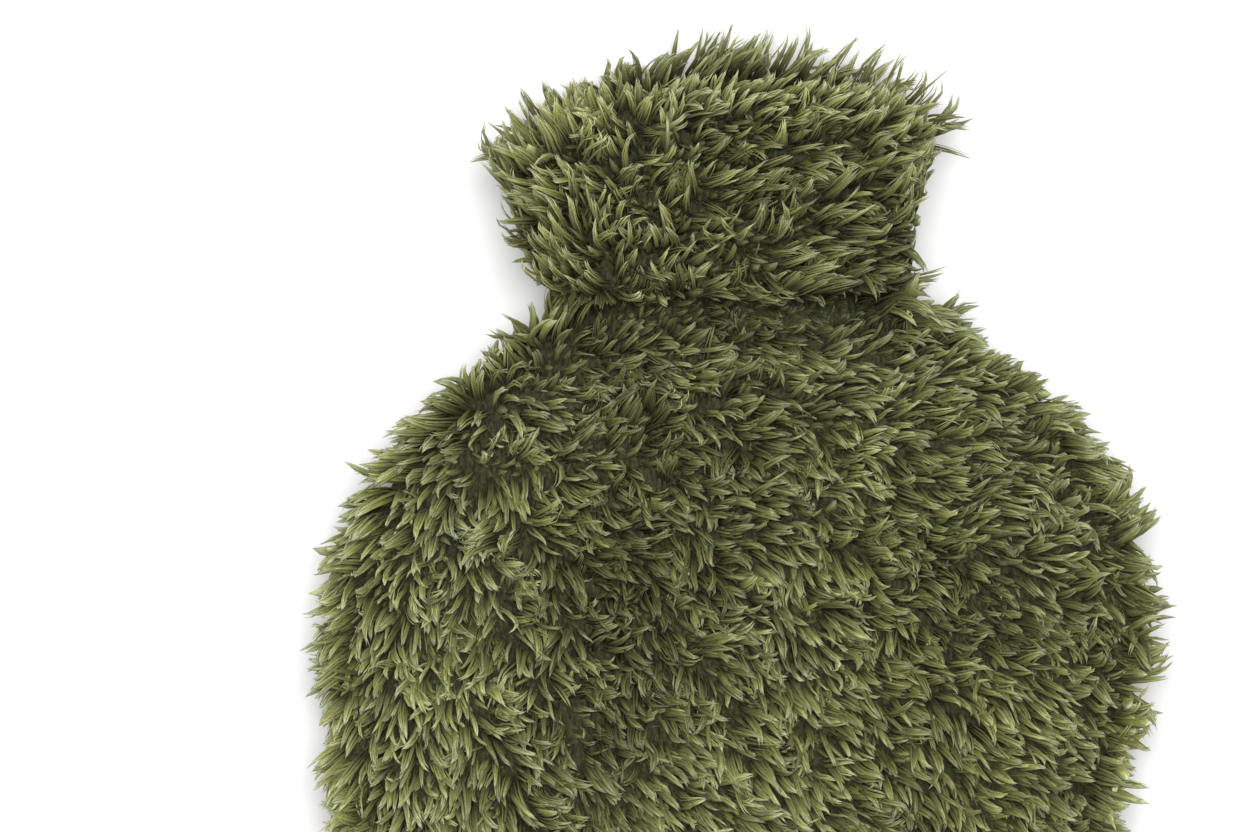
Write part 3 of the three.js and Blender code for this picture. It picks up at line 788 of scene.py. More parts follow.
def gather(lock, stray, random, per_tuft=4, pull=(0.1, 0.45)):
    """Gathers locks into tufts.

    Some locks, picked at random, head a tuft each, and the others join the nearest head. The locks of
    a tuft stray together, share one change of length, tone and rise, lean part of the way to the
    head's tip, and bend mostly as the head does.
    """
    count = len(lock["tone"])
    heads = random.choice(count, max(1, int(count / per_tuft)), replace=False)
    own = np.concatenate([
        ((part[:, None] - lock["root"][heads]) ** 2).sum(-1).argmin(1)
        for part in np.array_split(lock["root"], 12)
    ])
    turned(lock, stray * random.normal(0, 0.75, len(heads))[own])
    head = heads[own]
    run = TIP_REACH * lock["length"][:, None]
    goal = lock["root"][head] + lock["comb"][head] * run
    share = random.uniform(*pull, len(heads))[own][:, None]
    aim = mix(lock["root"] + lock["comb"] * run, goal, share) - lock["root"]
    lock["comb"] = unit(aim - (aim * lock["up"]).sum(1, keepdims=True) * lock["up"])
    lock["length"] = lock["length"] * random.uniform(0.86, 1.14, len(heads))[own]
    lock["tone"] = np.clip(lock["tone"] + random.normal(0, 0.09, len(heads))[own], 0, 1)
    lock["rise"] = lock["rise"] + random.normal(0, 0.09, len(heads))[own]
    for name in ("sway", "wave", "curl", "roll"):
        lock[name] = mix(lock[name], lock[name][head], LIKENESS)
    lock["phase"] = lock["phase"][head] + random.normal(0, 0.4, count)


def shaken_grid(low, high, spacing, random):
    """Points of a six-sided grid over a rectangle, each shaken by nearly half the spacing."""
    x, y = np.meshgrid(np.arange(low[0], high[0], spacing), np.arange(low[1], high[1], spacing * 0.87))
    x = x + spacing / 2 * (np.arange(len(x)) % 2)[:, None]
    points = np.column_stack([x.ravel(), y.ravel()])
    return points + random.uniform(-0.45, 0.45, points.shape) * spacing


def locks_on(root, up, heading, stray, shade, pile, random):
    """Facts of locks that grow at the given roots, combed along a heading in the plane of the cloth.

    Where the pile strays more, the locks turn, sway and wave more.
    """
    count = len(root)
    flat = np.column_stack([np.cos(heading), np.sin(heading), np.zeros(count)])
    return {
        "root": root,
        "up": up,
        "comb": unit(flat - (flat * up).sum(1, keepdims=True) * up),
        "length": pile.length * np.exp(random.normal(0, LENGTH_SPREAD, count)),
        "width": pile.width * np.clip(np.exp(random.normal(0, WIDTH_SPREAD, count)), 0.55, 1.9),
        "rise": np.radians(random.normal(*LOCK_RISE, count)),
        "fall": np.radians(random.normal(*LOCK_FALL, count)),
        "curl": random.normal(*LOCK_CURL, count),
        "yaw": random.normal(0, 1, count) * (0.10 + 0.30 * stray),
        "sway": random.normal(0, 1, count) * (0.55 + 0.95 * stray),
        "wave": random.normal(0, 1, count) * (0.24 + 0.30 * stray),
        "phase": random.uniform(0, 2 * math.pi, count),
        "roll": random.normal(0, ROLL_SPREAD, count),
        "twist": random.normal(0, TWIST_SPREAD, count),
        "tone": np.clip(0.5 + shade + random.normal(0, TONE_SPREAD, count), 0, 1),
    }


def rows_of_tufts(lock, pitch=12 * MM, depth=0.22):
    """Makes the pile lie in uneven rows across Y, a pitch apart.

    From the low side of a row to its high side the locks grow shorter, steeper and paler, so that all
    of them end near the row's top, over the dark roots of the next. The paler colour is painted light on
    the rows' tops, and the darker one painted shade in their hollows.
    """
    x, y = lock["root"][:, 0], lock["root"][:, 1]
    rows = (y + 0.4 * pitch * soft_noise(x, y, 34 * MM, 21)) / pitch
    place = (rows - np.floor(rows) - 0.5) * smooth(soft_noise(x, y, 26 * MM, 22), -1.3, 0.4)
    lock["length"] = lock["length"] * (1 - depth * place)
    lock["rise"] = lock["rise"] * (1 + 0.6 * depth * place)
    # painted light on the rows' tops and painted shade in their hollows
    lock["tone"] = np.clip(lock["tone"] + 0.8 * depth * place, 0, 1)


def body_roots(spacing, random, inside=4.2 * MM, top=HEM_Y + 5 * MM):
    """Roots on the body away from the seam, in front as far up as the collar's free edge hides them."""
    points = shaken_grid(CLOTH_LINE.min(0), CLOTH_LINE.max(0), spacing, random)
    x, y = points.T
    kept = np.abs(x - cloth_middle(y)) < cloth_half(y)
    kept &= y < top
    x, y = points[kept].T
    distance = distance_inside(x, y, CLOTH_LINE)
    kept = distance > inside
    return x[kept], y[kept], distance[kept]


def front_locks(pile, random):
    """All locks of the front, without the rim.

    Near the rim they turn part of the way outward. In a dip and under the collar's free edge they are
    shorter, and painted darker to stand for the shade there. Where the solid's top is further from the
    cloth they stand steeper.
    """
    x, y, distance = body_roots(pile.spacing, random)
    heading, stray, shade = lie_of_pile(BODY_LIE, x, y)
    heading = heading + 0.6 * stray * soft_noise(x, y, 26 * MM, 3)
    out = FRONT.blurred(4 * MM).normal(x, y)[:, :2]
    out = unit(out) * (0.7 * (1 - smooth(distance, 4 * MM, 20 * MM)))[:, None]
    heading = np.arctan2(np.sin(heading) + out[:, 1], np.cos(heading) + out[:, 0])
    dip = dip_at(BODY_DIPS, x, y)
    under_edge = 1 - smooth(np.abs(x - COLLAR["foot_shift"]), 46 * MM, 54 * MM)
    # the band under the collar's free edge, where its shadow falls: locks there are shorter and painted
    # darker
    hem_shadow_band = smooth(y, HEM_Y - 16 * MM, HEM_Y - 8 * MM) * under_edge
    root = np.column_stack([x, y, FRONT.at(x, y)])
    # painted shade: locks in the dips and under the collar's free edge are darkened
    shade = shade - 1.1 * dip - 0.9 * hem_shadow_band
    lock = locks_on(root, FRONT.normal(x, y), heading, stray, shade, pile, random)
    uneven = 1 + 0.08 * soft_noise(x, y, 14 * MM, 9)
    lock["length"] = lock["length"] * (1 - dip) * (1 - 0.42 * hem_shadow_band) * uneven
    rows_of_tufts(lock)
    gather(lock, 0.75 * stray, random, per_tuft=5)
    reach = ENVELOPE.at(x + lock["comb"][:, 0] * 8 * MM, y + lock["comb"][:, 1] * 8 * MM) - root[:, 2]
    lock["rise"] = lock["rise"] * mix(1, np.clip(reach / CLOTH_DEPTH, 0.6, 1.5), 0.6)
    return lock


def short_locks(pile, random, spacing=3.6 * MM):
    """Short locks all over the front, low under the others, painted dark as the shade between the locks."""
    x, y, _ = body_roots(spacing, random)
    heading, stray, shade = lie_of_pile(BODY_LIE, x, y)
    root = np.column_stack([x, y, FRONT.at(x, y)])
    # painted shade: the short pile is made dark to stand for the shade in the gaps between the locks
    shade = 0.4 * shade - 0.42 - dip_at(BODY_DIPS, x, y)
    lock = locks_on(root, FRONT.normal(x, y), heading, stray, shade, pile, random)
    lock["length"] = lock["length"] * 0.55
    lock["rise"] = lock["rise"] * 0.6
    return lock


def rim_locks(pile, random, low, high, spacing):
    """Locks round the seam, on a rounded edge between two distances from the seam, measured round it.

    On that edge they draw in with one less the cosine of the turn and drop with its sine. Above the
    seam they grow on the front cloth. They lie along the front's combing, turned outward, and are
    broader and longer than the others. Those that the collar covers are left out.
    """
    line, normal = CLOTH_LINE, CLOTH_NORMAL
    step = np.linalg.norm(line[1] - line[0])
    points = shaken_grid((0, low), (step * (len(line) - 1), high), spacing, random)
    along = np.clip(points[:, 0] / step, 0, len(line) - 1.001)
    index = along.astype(int)
    share = (along - index)[:, None]
    edge = mix(line[index], line[index + 1], share)
    out = unit(mix(normal[index], normal[index + 1], share))
    swing = points[:, 1] / RIM_RADIUS
    place = edge - out * (RIM_DRAW_IN * (1 - np.cos(swing)))[:, None]
    on_front = swing > 0.03
    on_cloth = FRONT.at(place[:, 0], place[:, 1]) - SEAM_GAP
    z = np.where(on_front, on_cloth, SEAM_Z + np.sin(swing) * RIM_DROP)
    below = unit(np.column_stack([out * np.cos(swing)[:, None], np.sin(swing) * 0.9]))
    above = unit(FRONT.normal(place[:, 0], place[:, 1]) + np.column_stack([0.5 * out, 0 * swing]))
    up = np.where(on_front[:, None], above, below)
    heading, stray, shade = lie_of_pile(BODY_LIE, place[:, 0], place[:, 1])
    flow = np.column_stack([np.cos(heading), np.sin(heading)])
    mixed = unit(flow + 0.6 * out * np.sign((flow * out).sum(1, keepdims=True) + 0.8))
    heading = np.arctan2(mixed[:, 1], mixed[:, 0])
    heading = heading + 0.6 * stray * soft_noise(place[:, 0] + z, place[:, 1], 24 * MM, 4)
    # painted light: the rim's pile is a little paler than the table gives
    lock = locks_on(np.column_stack([place, z]), up, heading, stray, shade + 0.05, pile, random)
    lock["width"] = lock["width"] * 1.4
    lock["length"] = lock["length"] * 1.25
    lock["rise"] = np.radians(random.normal(60, 9, len(z)))
    lock["fall"] = np.radians(random.normal(22, 14, len(z)))
    lock["length"] = lock["length"] * mix(1.0, 0.8, np.clip(-swing, 0, 1))
    shoulder = smooth(place[:, 1], 62 * MM, 72 * MM) * (1 - smooth(place[:, 1], 76 * MM, 84 * MM))
    lock["length"] = lock["length"] * (1 - 0.25 * shoulder + 0.35 * smooth(place[:, 1], 80 * MM, 90 * MM))
    gather(lock, 0.6 * stray, random, per_tuft=8, pull=(0.3, 0.8))
    top = np.where(swing < 0.3, HEM_Y + 4 * MM, HEM_Y - 1 * MM)
    return picked(lock, np.flatnonzero(place[:, 1] < top))


def back_locks(pile, random, spacing=7.2 * MM):
    """Locks pressed flat under the back cloth, broad and lying nearly level."""
    x, y, _ = body_roots(spacing, random, 8 * MM, math.inf)
    stray = np.full(len(x), 0.3)
    heading = np.radians(-90) + 0.5 * soft_noise(x, y, 40 * MM, 12)
    root = np.column_stack([x, y, back_cloth_height(x, y) - 0.5 * MM])
    up = np.tile([0.0, 0.0, -1.0], (len(x), 1))
    lock = locks_on(root, up, heading, stray, 0 * x, pile, random)
    gather(lock, stray, random)
    lock["rise"] = np.radians(random.uniform(8, 32, len(x)))
    lock["fall"] = np.radians(random.uniform(-6, 6, len(x)))
    lock["curl"] = 0 * x
    lock["roll"] = random.normal(0, 0.12, len(x))
    lock["twist"] = random.normal(0, 0.12, len(x))
    return lock


# ------------------------------------------------------------------ the collar


def collar_line(angle, ends):
    """Place along Y at an angle round the neck.

    The value at the side is mixed with the one in front or behind by the square of the sine.
    """
    side = np.where(np.cos(angle) > 0, ends["right"], ends["left"])
    middle = np.where(np.sin(angle) > 0, ends["front"], ends["back"])
    return NECK_END_Y + mix(side, middle, np.sin(angle) ** 2)


def oval(angle, half_x, half_z, shift, y):
    """Points on a flattened oval round the neck.

    X goes with the cosine and Z with the sine of the angle, each raised to a power a little below 1,
    which makes the oval squarer than an ellipse.
    """
    power = 2 / COLLAR["oval_power"]
    c, s = np.cos(angle), np.sin(angle)
    x = shift + half_x * np.sign(c) * np.abs(c) ** power
    z = MIDDLE_Z + half_z * np.sign(s) * np.abs(s) ** power
    return np.stack([x, y + 0 * x, z], -1)


def ripple(angle, share):
    """The collar's soft rows across its front, 0 in the creases to 1, uneven in place and in height.

    Along Y each row rises slowly and falls quickly.
    """
    length = COLLAR["fold"]["front"] - COLLAR["hem"]["front"]
    around = np.asarray(angle) * 60 * MM
    drift = COLLAR["row_drift"] * soft_noise(around, share * length, 42 * MM, 23)
    rows = (share * length + drift) / COLLAR["row_pitch"]
    place = rows - np.floor(rows)
    height = smooth(place, 0, 0.72) * (1 - smooth(place, 0.78, 1))
    front = smooth(np.sin(angle), 0.05, 0.5)
    return height * front * smooth(soft_noise(around, share * length, 30 * MM, 24), -1.6, 0.2)


def collar_outside(angle, share, depth=COLLAR["pile_depth"]):
    """Outer layer of the collar at a share of the way from its free edge to its fold, less a depth.

    The oval's half widths, its shift and its place along Y are mixed from those of the free edge and
    of the fold, and the rows stand out from it. The share may be a little below 0, where slopes are
    taken at the free edge.
    """
    depth = depth - COLLAR["row_height"] * (ripple(angle, share) - 0.5 * smooth(np.sin(angle), 0.05, 0.5))
    half_x = mix(COLLAR["foot_half"][0], COLLAR["top_half"][0], np.maximum(share, 0) ** 0.9) - depth
    half_z = mix(COLLAR["foot_half"][1], COLLAR["top_half"][1], share) - depth
    shift = mix(COLLAR["foot_shift"], COLLAR["top_shift"], share)
    y = mix(collar_line(angle, COLLAR["hem"]), collar_line(angle, COLLAR["fold"]), share)
    return oval(angle, half_x, half_z, shift, y)


def collar_inside(angle, share, depth):
    """Inner layer of the collar at a share of the way from the neck's end to its fold, less a depth.

    The oval's measures are mixed from those of the neck and of the fold, and it widens fastest at the
    neck.
    """
    top_x, top_z = (size - depth for size in COLLAR["top_half"])
    half_x = mix(COLLAR["root_half"][0] - 3 * MM, top_x, share**0.7)
    half_z = mix(COLLAR["root_half"][1] - 3 * MM, top_z, share**0.7)
    shift = mix(NECK_SHIFT, COLLAR["top_shift"], share)
    y = mix(NECK_END_Y + 1 * MM, collar_line(angle, COLLAR["fold"]), share)
    return oval(angle, half_x, half_z, shift, y)


def frame_on(surface, angle, share):
    """Point and outward normal of a surface given by an angle and a share.

    The normal is the cross product of the two slopes there, turned away from the collar's middle line.
    """
    point = surface(angle, share)
    d_angle = surface(angle + 0.01, share) - surface(angle - 0.01, share)
    d_share = surface(angle, share + 0.01) - surface(angle, share - 0.01)
    normal = unit(np.cross(d_share, d_angle))
    outward = point - np.array([0, 0, MIDDLE_Z])
    outward[..., 1] = 0
    return point, normal * np.sign((normal * outward).sum(-1, keepdims=True))


def even_angles(count, half_x, half_z):
    """Angles evenly spaced along the oval, and a table of lengths along it with their angles."""
    angle = np.linspace(0, 2 * math.pi, 721)
    points = oval(angle, half_x, half_z, 0, 0)
    along = np.concatenate([[0], np.cumsum(np.linalg.norm(np.diff(points, axis=0), axis=1))])
    return np.interp(np.linspace(0, along[-1], count, endpoint=False), along, angle), along, angle


def collar_locks(pile, random, spacing=3.1 * MM):
    """Locks on the collar's outer layer, and which of them are beneath it: fewer there, and lying down."""
    half_x, half_z = (size - COLLAR["pile_depth"] for size in COLLAR["top_half"])
    _, along, angle_along = even_angles(8, half_x, half_z)
    length = COLLAR["fold"]["front"] - COLLAR["hem"]["front"]
    points = shaken_grid((0, 0), (along[-1], length), spacing, random)
    angle = np.interp(points[:, 0], along, angle_along)
    share = np.clip(points[:, 1] / length, 0.001, 1.0)
    root, up = frame_on(collar_outside, angle, share)
    heading, stray, shade = lie_of_pile(COLLAR_LIE, root[:, 0], root[:, 1], COLLAR_REACH)
    heading = heading + 0.6 * stray * soft_noise(root[:, 0], root[:, 1] + root[:, 2], 22 * MM, 6)
    dip = dip_at(COLLAR_DIPS, root[:, 0], root[:, 1])
    # painted light and shade: locks on the rows' crests are paler, in the creases and dips darker
    row = ripple(angle, share) - 0.45
    lock = locks_on(root, up, heading, stray, shade - 0.7 * dip + 0.3 * row, pile, random)
    lock["length"] = lock["length"] * (1 - dip) * (1 + 0.2 * row)
    gather(lock, stray, random, per_tuft=8, pull=(0.4, 0.8))
    beneath = up[:, 2] < -0.25
    lock["rise"] = np.where(beneath, np.radians(20), lock["rise"])
    lock["fall"] = np.where(beneath, np.radians(-4), lock["fall"])
    kept = ~beneath | (random.uniform(0, 1, len(root)) < 0.5)
    return picked(lock, np.flatnonzero(kept)), beneath[kept]


def crown_locks(pile, random, spacing=3.5 * MM):
    """Locks round the fold: they stand up along +Y, and on its inner side they lean into the mouth.

    The oval of their roots grows smaller with one less the cosine of the turn over the fold and rises
    with its sine.
    """
    half_x, half_z = (size - COLLAR["pile_depth"] - CROWN_INSET for size in COLLAR["top_half"])
    _, along, angle_along = even_angles(8, half_x, half_z)
    points = shaken_grid((0, CROWN_BAND[0]), (along[-1], CROWN_BAND[1]), spacing, random)
    angle = np.interp(points[:, 0], along, angle_along)
    swing = points[:, 1] / CROWN_RADIUS
    depth = COLLAR["pile_depth"] + CROWN_TURN_IN * (1 - np.cos(np.clip(swing, 0, math.pi)))
    half_x, half_z = (size - depth for size in COLLAR["top_half"])
    rise = COLLAR["fold_rise"] * np.sin(np.clip(swing, 0, math.pi))
    rise = rise - np.maximum(swing - math.pi, 0) * 2 * MM
    y = collar_line(angle, COLLAR["fold"]) + rise + np.minimum(swing, 0) * 3 * MM
    root = oval(angle, half_x, half_z, COLLAR["top_shift"], y)
    outward = unit(np.column_stack([np.cos(angle) * half_z, 0 * angle, np.sin(angle) * half_x]))
    lean = np.cos(np.clip(swing, 0, math.pi))[:, None]
    up = unit(outward * lean + np.array([0, 1.0, 0]) * (1.0 - 0.4 * np.abs(lean)))
    heading, stray, shade = lie_of_pile(COLLAR_LIE, root[:, 0], root[:, 1], COLLAR_REACH)
    behind = root[:, 2] < MIDDLE_Z
    # painted light: the front of the fold is paler than the table gives, and behind it one set tone
    shade = np.where(behind, 0.10, shade + 0.20)
    lock = locks_on(root, up, heading, stray, shade, pile, random)
    lock["length"] = lock["length"] * (1 - np.minimum(dip_at(COLLAR_DIPS, root[:, 0], root[:, 1]), 0))
    lock["rise"] = np.radians(random.normal(72, 9, len(root)))
    lock["fall"] = np.radians(random.normal(32, 16, len(root)))
    lock["width"] = lock["width"] * np.where(behind, 1.15, 1.45)
    middle = smooth(root[:, 0], -36 * MM, -4 * MM) * (1 - smooth(root[:, 0], 44 * MM, 58 * MM))
    lock["length"] = lock["length"] * np.where(behind, 0.95 + 0.6 * middle, 0.86)
    gather(lock, 0.6 * stray, random, per_tuft=6, pull=(0.3, 0.75))
    return lock


def hem_locks(pile, random, spacing=1.5 * MM):
    """Locks along the front of the free edge, lying out over the shoulders."""
    angle = np.linspace(0.45, math.pi - 0.45, int(HEM_RUN / spacing))
    angle = angle + random.normal(0, 0.02, len(angle))
    share = random.uniform(0.0, 0.06, len(angle))
    root, up = frame_on(collar_outside, angle, share)
    heading, stray, shade = lie_of_pile(COLLAR_LIE, root[:, 0], root[:, 1], COLLAR_REACH)
    down = np.column_stack([np.cos(heading), -0.3 + 0 * heading])
    lock = locks_on(root, up, np.arctan2(down[:, 1], down[:, 0]), stray, shade, pile, random)
    lock["rise"] = np.radians(random.normal(30, 10, len(root)))
    lock["fall"] = np.radians(random.normal(-12, 8, len(root)))
    lock["length"] = lock["length"] * 0.62
    gather(lock, 0.6 * stray, random, per_tuft=4)
    return lock


# ------------------------------------------------------------------ materials


def new_material(name):
    """A node material with only its output and its Principled shader, and that shader."""
    material = bpy.data.materials.new(name)
    material.use_nodes = True
    nodes = material.node_tree.nodes
    nodes.clear()
    output = nodes.new("ShaderNodeOutputMaterial")
    shader = nodes.new("ShaderNodeBsdfPrincipled")
    material.node_tree.links.new(shader.outputs["BSDF"], output.inputs["Surface"])
    return material, shader


def set_inputs(material, node, inputs):
    """Gives a node's inputs their values or links. The name of an input may be _ and its number."""
    for name, value in inputs.items():
        socket = node.inputs[int(name[1:]) if name[0] == "_" else name]
        if isinstance(value, bpy.types.NodeSocket):
            material.node_tree.links.new(value, socket)
        else:
            socket.default_value = value


def add_node(material, kind, settings=(), **inputs):
    """Adds a node with its own properties and its inputs."""
    node = material.node_tree.nodes.new(kind)
    for name, value in dict(settings).items():
        setattr(node, name, value)
    set_inputs(material, node, inputs)
    return node


def maths(material, operation, a, b=0.0):
    """The result of a Math node."""
    return add_node(material, "ShaderNodeMath", {"operation": operation}, _0=a, _1=b).outputs[0]


def spread(material, value, low, high, to_low, to_high):
    """A value moved from one range to another, clamped at both ends."""
    node = add_node(
        material, "ShaderNodeMapRange", {"clamp": True}, Value=value,
        **{"From Min": low, "From Max": high, "To Min": to_low, "To Max": to_high},
    )
    return node.outputs["Result"]


def blended(material, share, a, b, kind="MIX"):
    """Two colours mixed by a share."""
    node = add_node(
        material, "ShaderNodeMix", {"data_type": "RGBA", "blend_type": kind, "clamp_factor": True},
        _0=share, _6=a, _7=b,
    )
    return node.outputs[2]


def noise(material, vector, scale, detail, seed=0.0):
    """A noise value over a vector."""
    node = add_node(
        material, "ShaderNodeTexNoise", {"noise_dimensions": "4D"},
        Vector=vector, W=seed, Scale=scale, Detail=detail, Roughness=0.55,
    )
    return node.outputs["Fac"]


def opaque(colour):
    """A colour with full alpha."""
    return (*colour, 1.0)


def pile_material(pile):
    """Matt wool-like fibre, dark at the root and pale at the tip as painted shade and painted light, with
    fine stripes along each lock.

    The tone of each lock, partly painted light and shade, makes it paler or darker, and large soft
    patches make it warmer or cooler.
    The sheen is that of the outer, paler pile and fades towards the roots.
    """
    material, shader = new_material("olive_pile")
    uv = add_node(material, "ShaderNodeUVMap", {"uv_map": "Lock"}).outputs["UV"]
    parts = add_node(material, "ShaderNodeSeparateXYZ", Vector=uv)
    around, along = parts.outputs["X"], parts.outputs["Y"]
    tone = add_node(material, "ShaderNodeAttribute", {"attribute_name": "tone"}).outputs["Fac"]
    place = add_node(material, "ShaderNodeTexCoord").outputs["Object"]

    fibres_at = add_node(
        material, "ShaderNodeCombineXYZ",
        X=maths(material, "MULTIPLY", around, 15.0), Y=maths(material, "MULTIPLY", along, 3.5),
        Z=maths(material, "MULTIPLY", tone, 83.0),
    ).outputs["Vector"]
    fibres = noise(material, fibres_at, 1.0, 2.0)
    fuzz = noise(material, place, 2200.0, 2.0)
    patches = noise(material, place, 34.0, 2.0, 2.0)
    broad = noise(material, place, 11.0, 1.0, 5.0)

    # painted shade at the root rising to painted light at the tip
    toward_middle = spread(material, along, 0.2, 0.66, 0.0, 1.0)
    toward_tip = spread(material, along, 0.6, 1.0, 0.0, 1.0)
    colour = blended(material, toward_middle, opaque(pile.root), opaque(pile.middle))
    colour = blended(material, toward_tip, colour, opaque(pile.tip))
    shade = spread(material, fibres, 0.32, 0.68, 0.66, 1.34)
    shade = maths(material, "MULTIPLY", shade, spread(material, tone, 0.0, 1.0, 0.36, 1.64))
    shade = maths(material, "MULTIPLY", shade, spread(material, fuzz, 0.3, 0.7, 0.78, 1.22))
    shade_colour = add_node(
        material, "ShaderNodeCombineColor", Red=shade, Green=shade, Blue=shade,
    ).outputs[0]
    colour = blended(material, 1.0, colour, shade_colour, "MULTIPLY")
    warm = blended(material, 1.0, colour, (1.04, 1.0, 0.88, 1.0), "MULTIPLY")
    cool = blended(material, 1.0, colour, (0.98, 1.0, 1.03, 1.0), "MULTIPLY")
    patchy = maths(material, "ADD", patches, maths(material, "MULTIPLY", broad, 0.8))
    hue = spread(material, patchy, 0.7, 1.12, 0.0, 1.0)
    colour = blended(material, hue, cool, warm)

    height = maths(material, "ADD", fibres, maths(material, "MULTIPLY", fuzz, 0.25))
    bump = add_node(material, "ShaderNodeBump", Strength=0.75, Distance=0.35 * MM, Height=height)
    outer = maths(material, "MULTIPLY", spread(material, along, 0.15, 0.7, 0.2, 1.0), tone)
    set_inputs(material, shader, {
        "Base Color": colour,
        "Normal": bump.outputs["Normal"],
        "Roughness": 0.72,
        "Specular IOR Level": 0.2,
        "Sheen Weight": maths(material, "MULTIPLY", outer, 0.8),
        "Sheen Roughness": 0.4,
        "Sheen Tint": (0.81, 0.84, 0.60, 1.0),
    })
    return material


def cloth_material(cloth):
    """Knitted backing: rows of worn loops under a stubble of short fibre, both in colour and bump. Its dark
    colour is painted shade, as deep under the pile.
    """
    material, shader = new_material("knitted_backing")
    place = add_node(material, "ShaderNodeTexCoord").outputs["Object"]
    rows = add_node(
        material, "ShaderNodeTexWave", {"wave_type": "BANDS", "bands_direction": "Y"},
        Vector=place, Scale=190.0, Distortion=2.0, Detail=1.0,
    ).outputs["Fac"]
    wales = add_node(
        material, "ShaderNodeTexWave", {"wave_type": "BANDS", "bands_direction": "X"},
        Vector=place, Scale=150.0, Distortion=1.5, Detail=1.0,
    ).outputs["Fac"]
    loops = maths(material, "MULTIPLY", rows, wales)
    stretched = add_node(
        material, "ShaderNodeVectorMath", {"operation": "MULTIPLY"}, _0=place, _1=(1.0, 0.35, 0.6),
    ).outputs["Vector"]
    stubble = noise(material, stretched, 1100.0, 3.0)
    light = tuple(min(1.0, 5.0 * value) for value in cloth.colour)
    worn = spread(material, loops, 0.0, 1.0, 0.6, 1.0)
    share = maths(material, "MULTIPLY", worn, spread(material, stubble, 0.35, 0.65, 0.0, 1.0))
    colour = blended(material, share, opaque(cloth.colour), opaque(light))
    bump = add_node(material, "ShaderNodeBump", Strength=0.9, Distance=0.5 * MM, Height=share)
    set_inputs(material, shader, {
        "Base Color": colour,
        "Normal": bump.outputs["Normal"],
        "Roughness": 0.9,
        "Specular IOR Level": 0.2,
    })
    return material


# ------------------------------------------------------------------ pieces


def place_piece(name, mesh, material, replaced):
    """Links a piece at the origin, with its material and the frame nodes that it stands for."""
    piece = bpy.data.objects.new(name, mesh)
    bpy.context.scene.collection.objects.link(piece)
    mesh.materials.append(material)
    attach(piece, BODY)
    if replaced:
        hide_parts(*replaced)
    return piece


def grid_mesh(name, points, closed_round=False):
    """A mesh of quads over a grid of points (rows, columns, 3); the columns may close into a ring."""
    rows, columns = points.shape[:2]
    last = columns if closed_round else columns - 1
    i, j = np.meshgrid(np.arange(rows - 1), np.arange(last), indexing="ij")
    i, j = i.ravel(), j.ravel()
    k = (j + 1) % columns
    here, after = i * columns, (i + 1) * columns
    faces = np.column_stack([here + j, here + k, after + k, after + j])
    mesh = bpy.data.meshes.new(name)
    mesh.from_pydata(points.reshape(-1, 3).tolist(), [], faces.tolist())
    mesh.polygons.foreach_set("use_smooth", np.ones(len(faces), bool))
    mesh.update()
    return mesh


def thickened(piece, thickness, offset):
    """Gives a sheet its thickness, applied, so that it is one closed mesh."""
    solidify = piece.modifiers.new("thickness", "SOLIDIFY")
    solidify.thickness = thickness
    solidify.offset = offset
    solidify.use_even_offset = False
    depsgraph = bpy.context.evaluated_depsgraph_get()
    mesh = bpy.data.meshes.new_from_object(piece.evaluated_get(depsgraph))
    piece.modifiers.clear()
    old = piece.data
    piece.data = mesh
    bpy.data.meshes.remove(old)
    mesh.name = piece.name


def body_grid(rows=52, columns=40):
    """Points of the body in plan, in rows closer together at the bottom and columns closer at the sides.

    Across, a point's share of the half width is the sine of an angle that goes in even steps.
    """
    along = np.linspace(0, 1, rows) ** 1.5
    across = np.sin(np.linspace(-0.5, 0.5, columns) * math.pi)
    y = mix(BOTTOM_Y + CLOTH_INSET + 0.6 * MM, NECK_END_Y, along)[:, None]
    x = cloth_middle(y) + cloth_half(y) * across[None]
    return x, np.broadcast_to(y, x.shape)


class COVER_OT_front(bpy.types.Operator):
    """Builds the front cloth and its pile."""

    bl_idname = "cover.front"
    bl_label = "Front"

    def execute(self, context):
        scene = context.scene
        pile = scene.cover_pile
        random = np.random.default_rng(pile.seed)
        x, y = body_grid()
        z = FRONT.at(x, y)
        z[:, 0] = z[:, -1] = z[0] = SEAM_Z + SEAM_GAP
        mesh = grid_mesh("front_cloth", np.stack([x, y, np.maximum(z, SEAM_Z + SEAM_GAP)], -1))
        cloth = place_piece("front_cloth", mesh, cloth_material(scene.cover_cloth), ["front_panel"])
        thickened(cloth, scene.cover_cloth.thickness, 1.0)
        lock = front_locks(pile, random)
        material = pile_material(pile)
        order = np.argsort(lock["root"][:, 1])
        for number, rows in enumerate(np.array_split(order, 4)):
            name = f"front_pile_{number + 1}"
            parts = MeshParts()
            add_locks(parts, picked(lock, rows), pile, random)
            place_piece(name, parts.mesh(name), material, [])
        parts = MeshParts()
        add_short_pile(parts, short_locks(pile, random))
        place_piece("front_short_pile", parts.mesh("front_short_pile"), material, [])
        return {"FINISHED"}


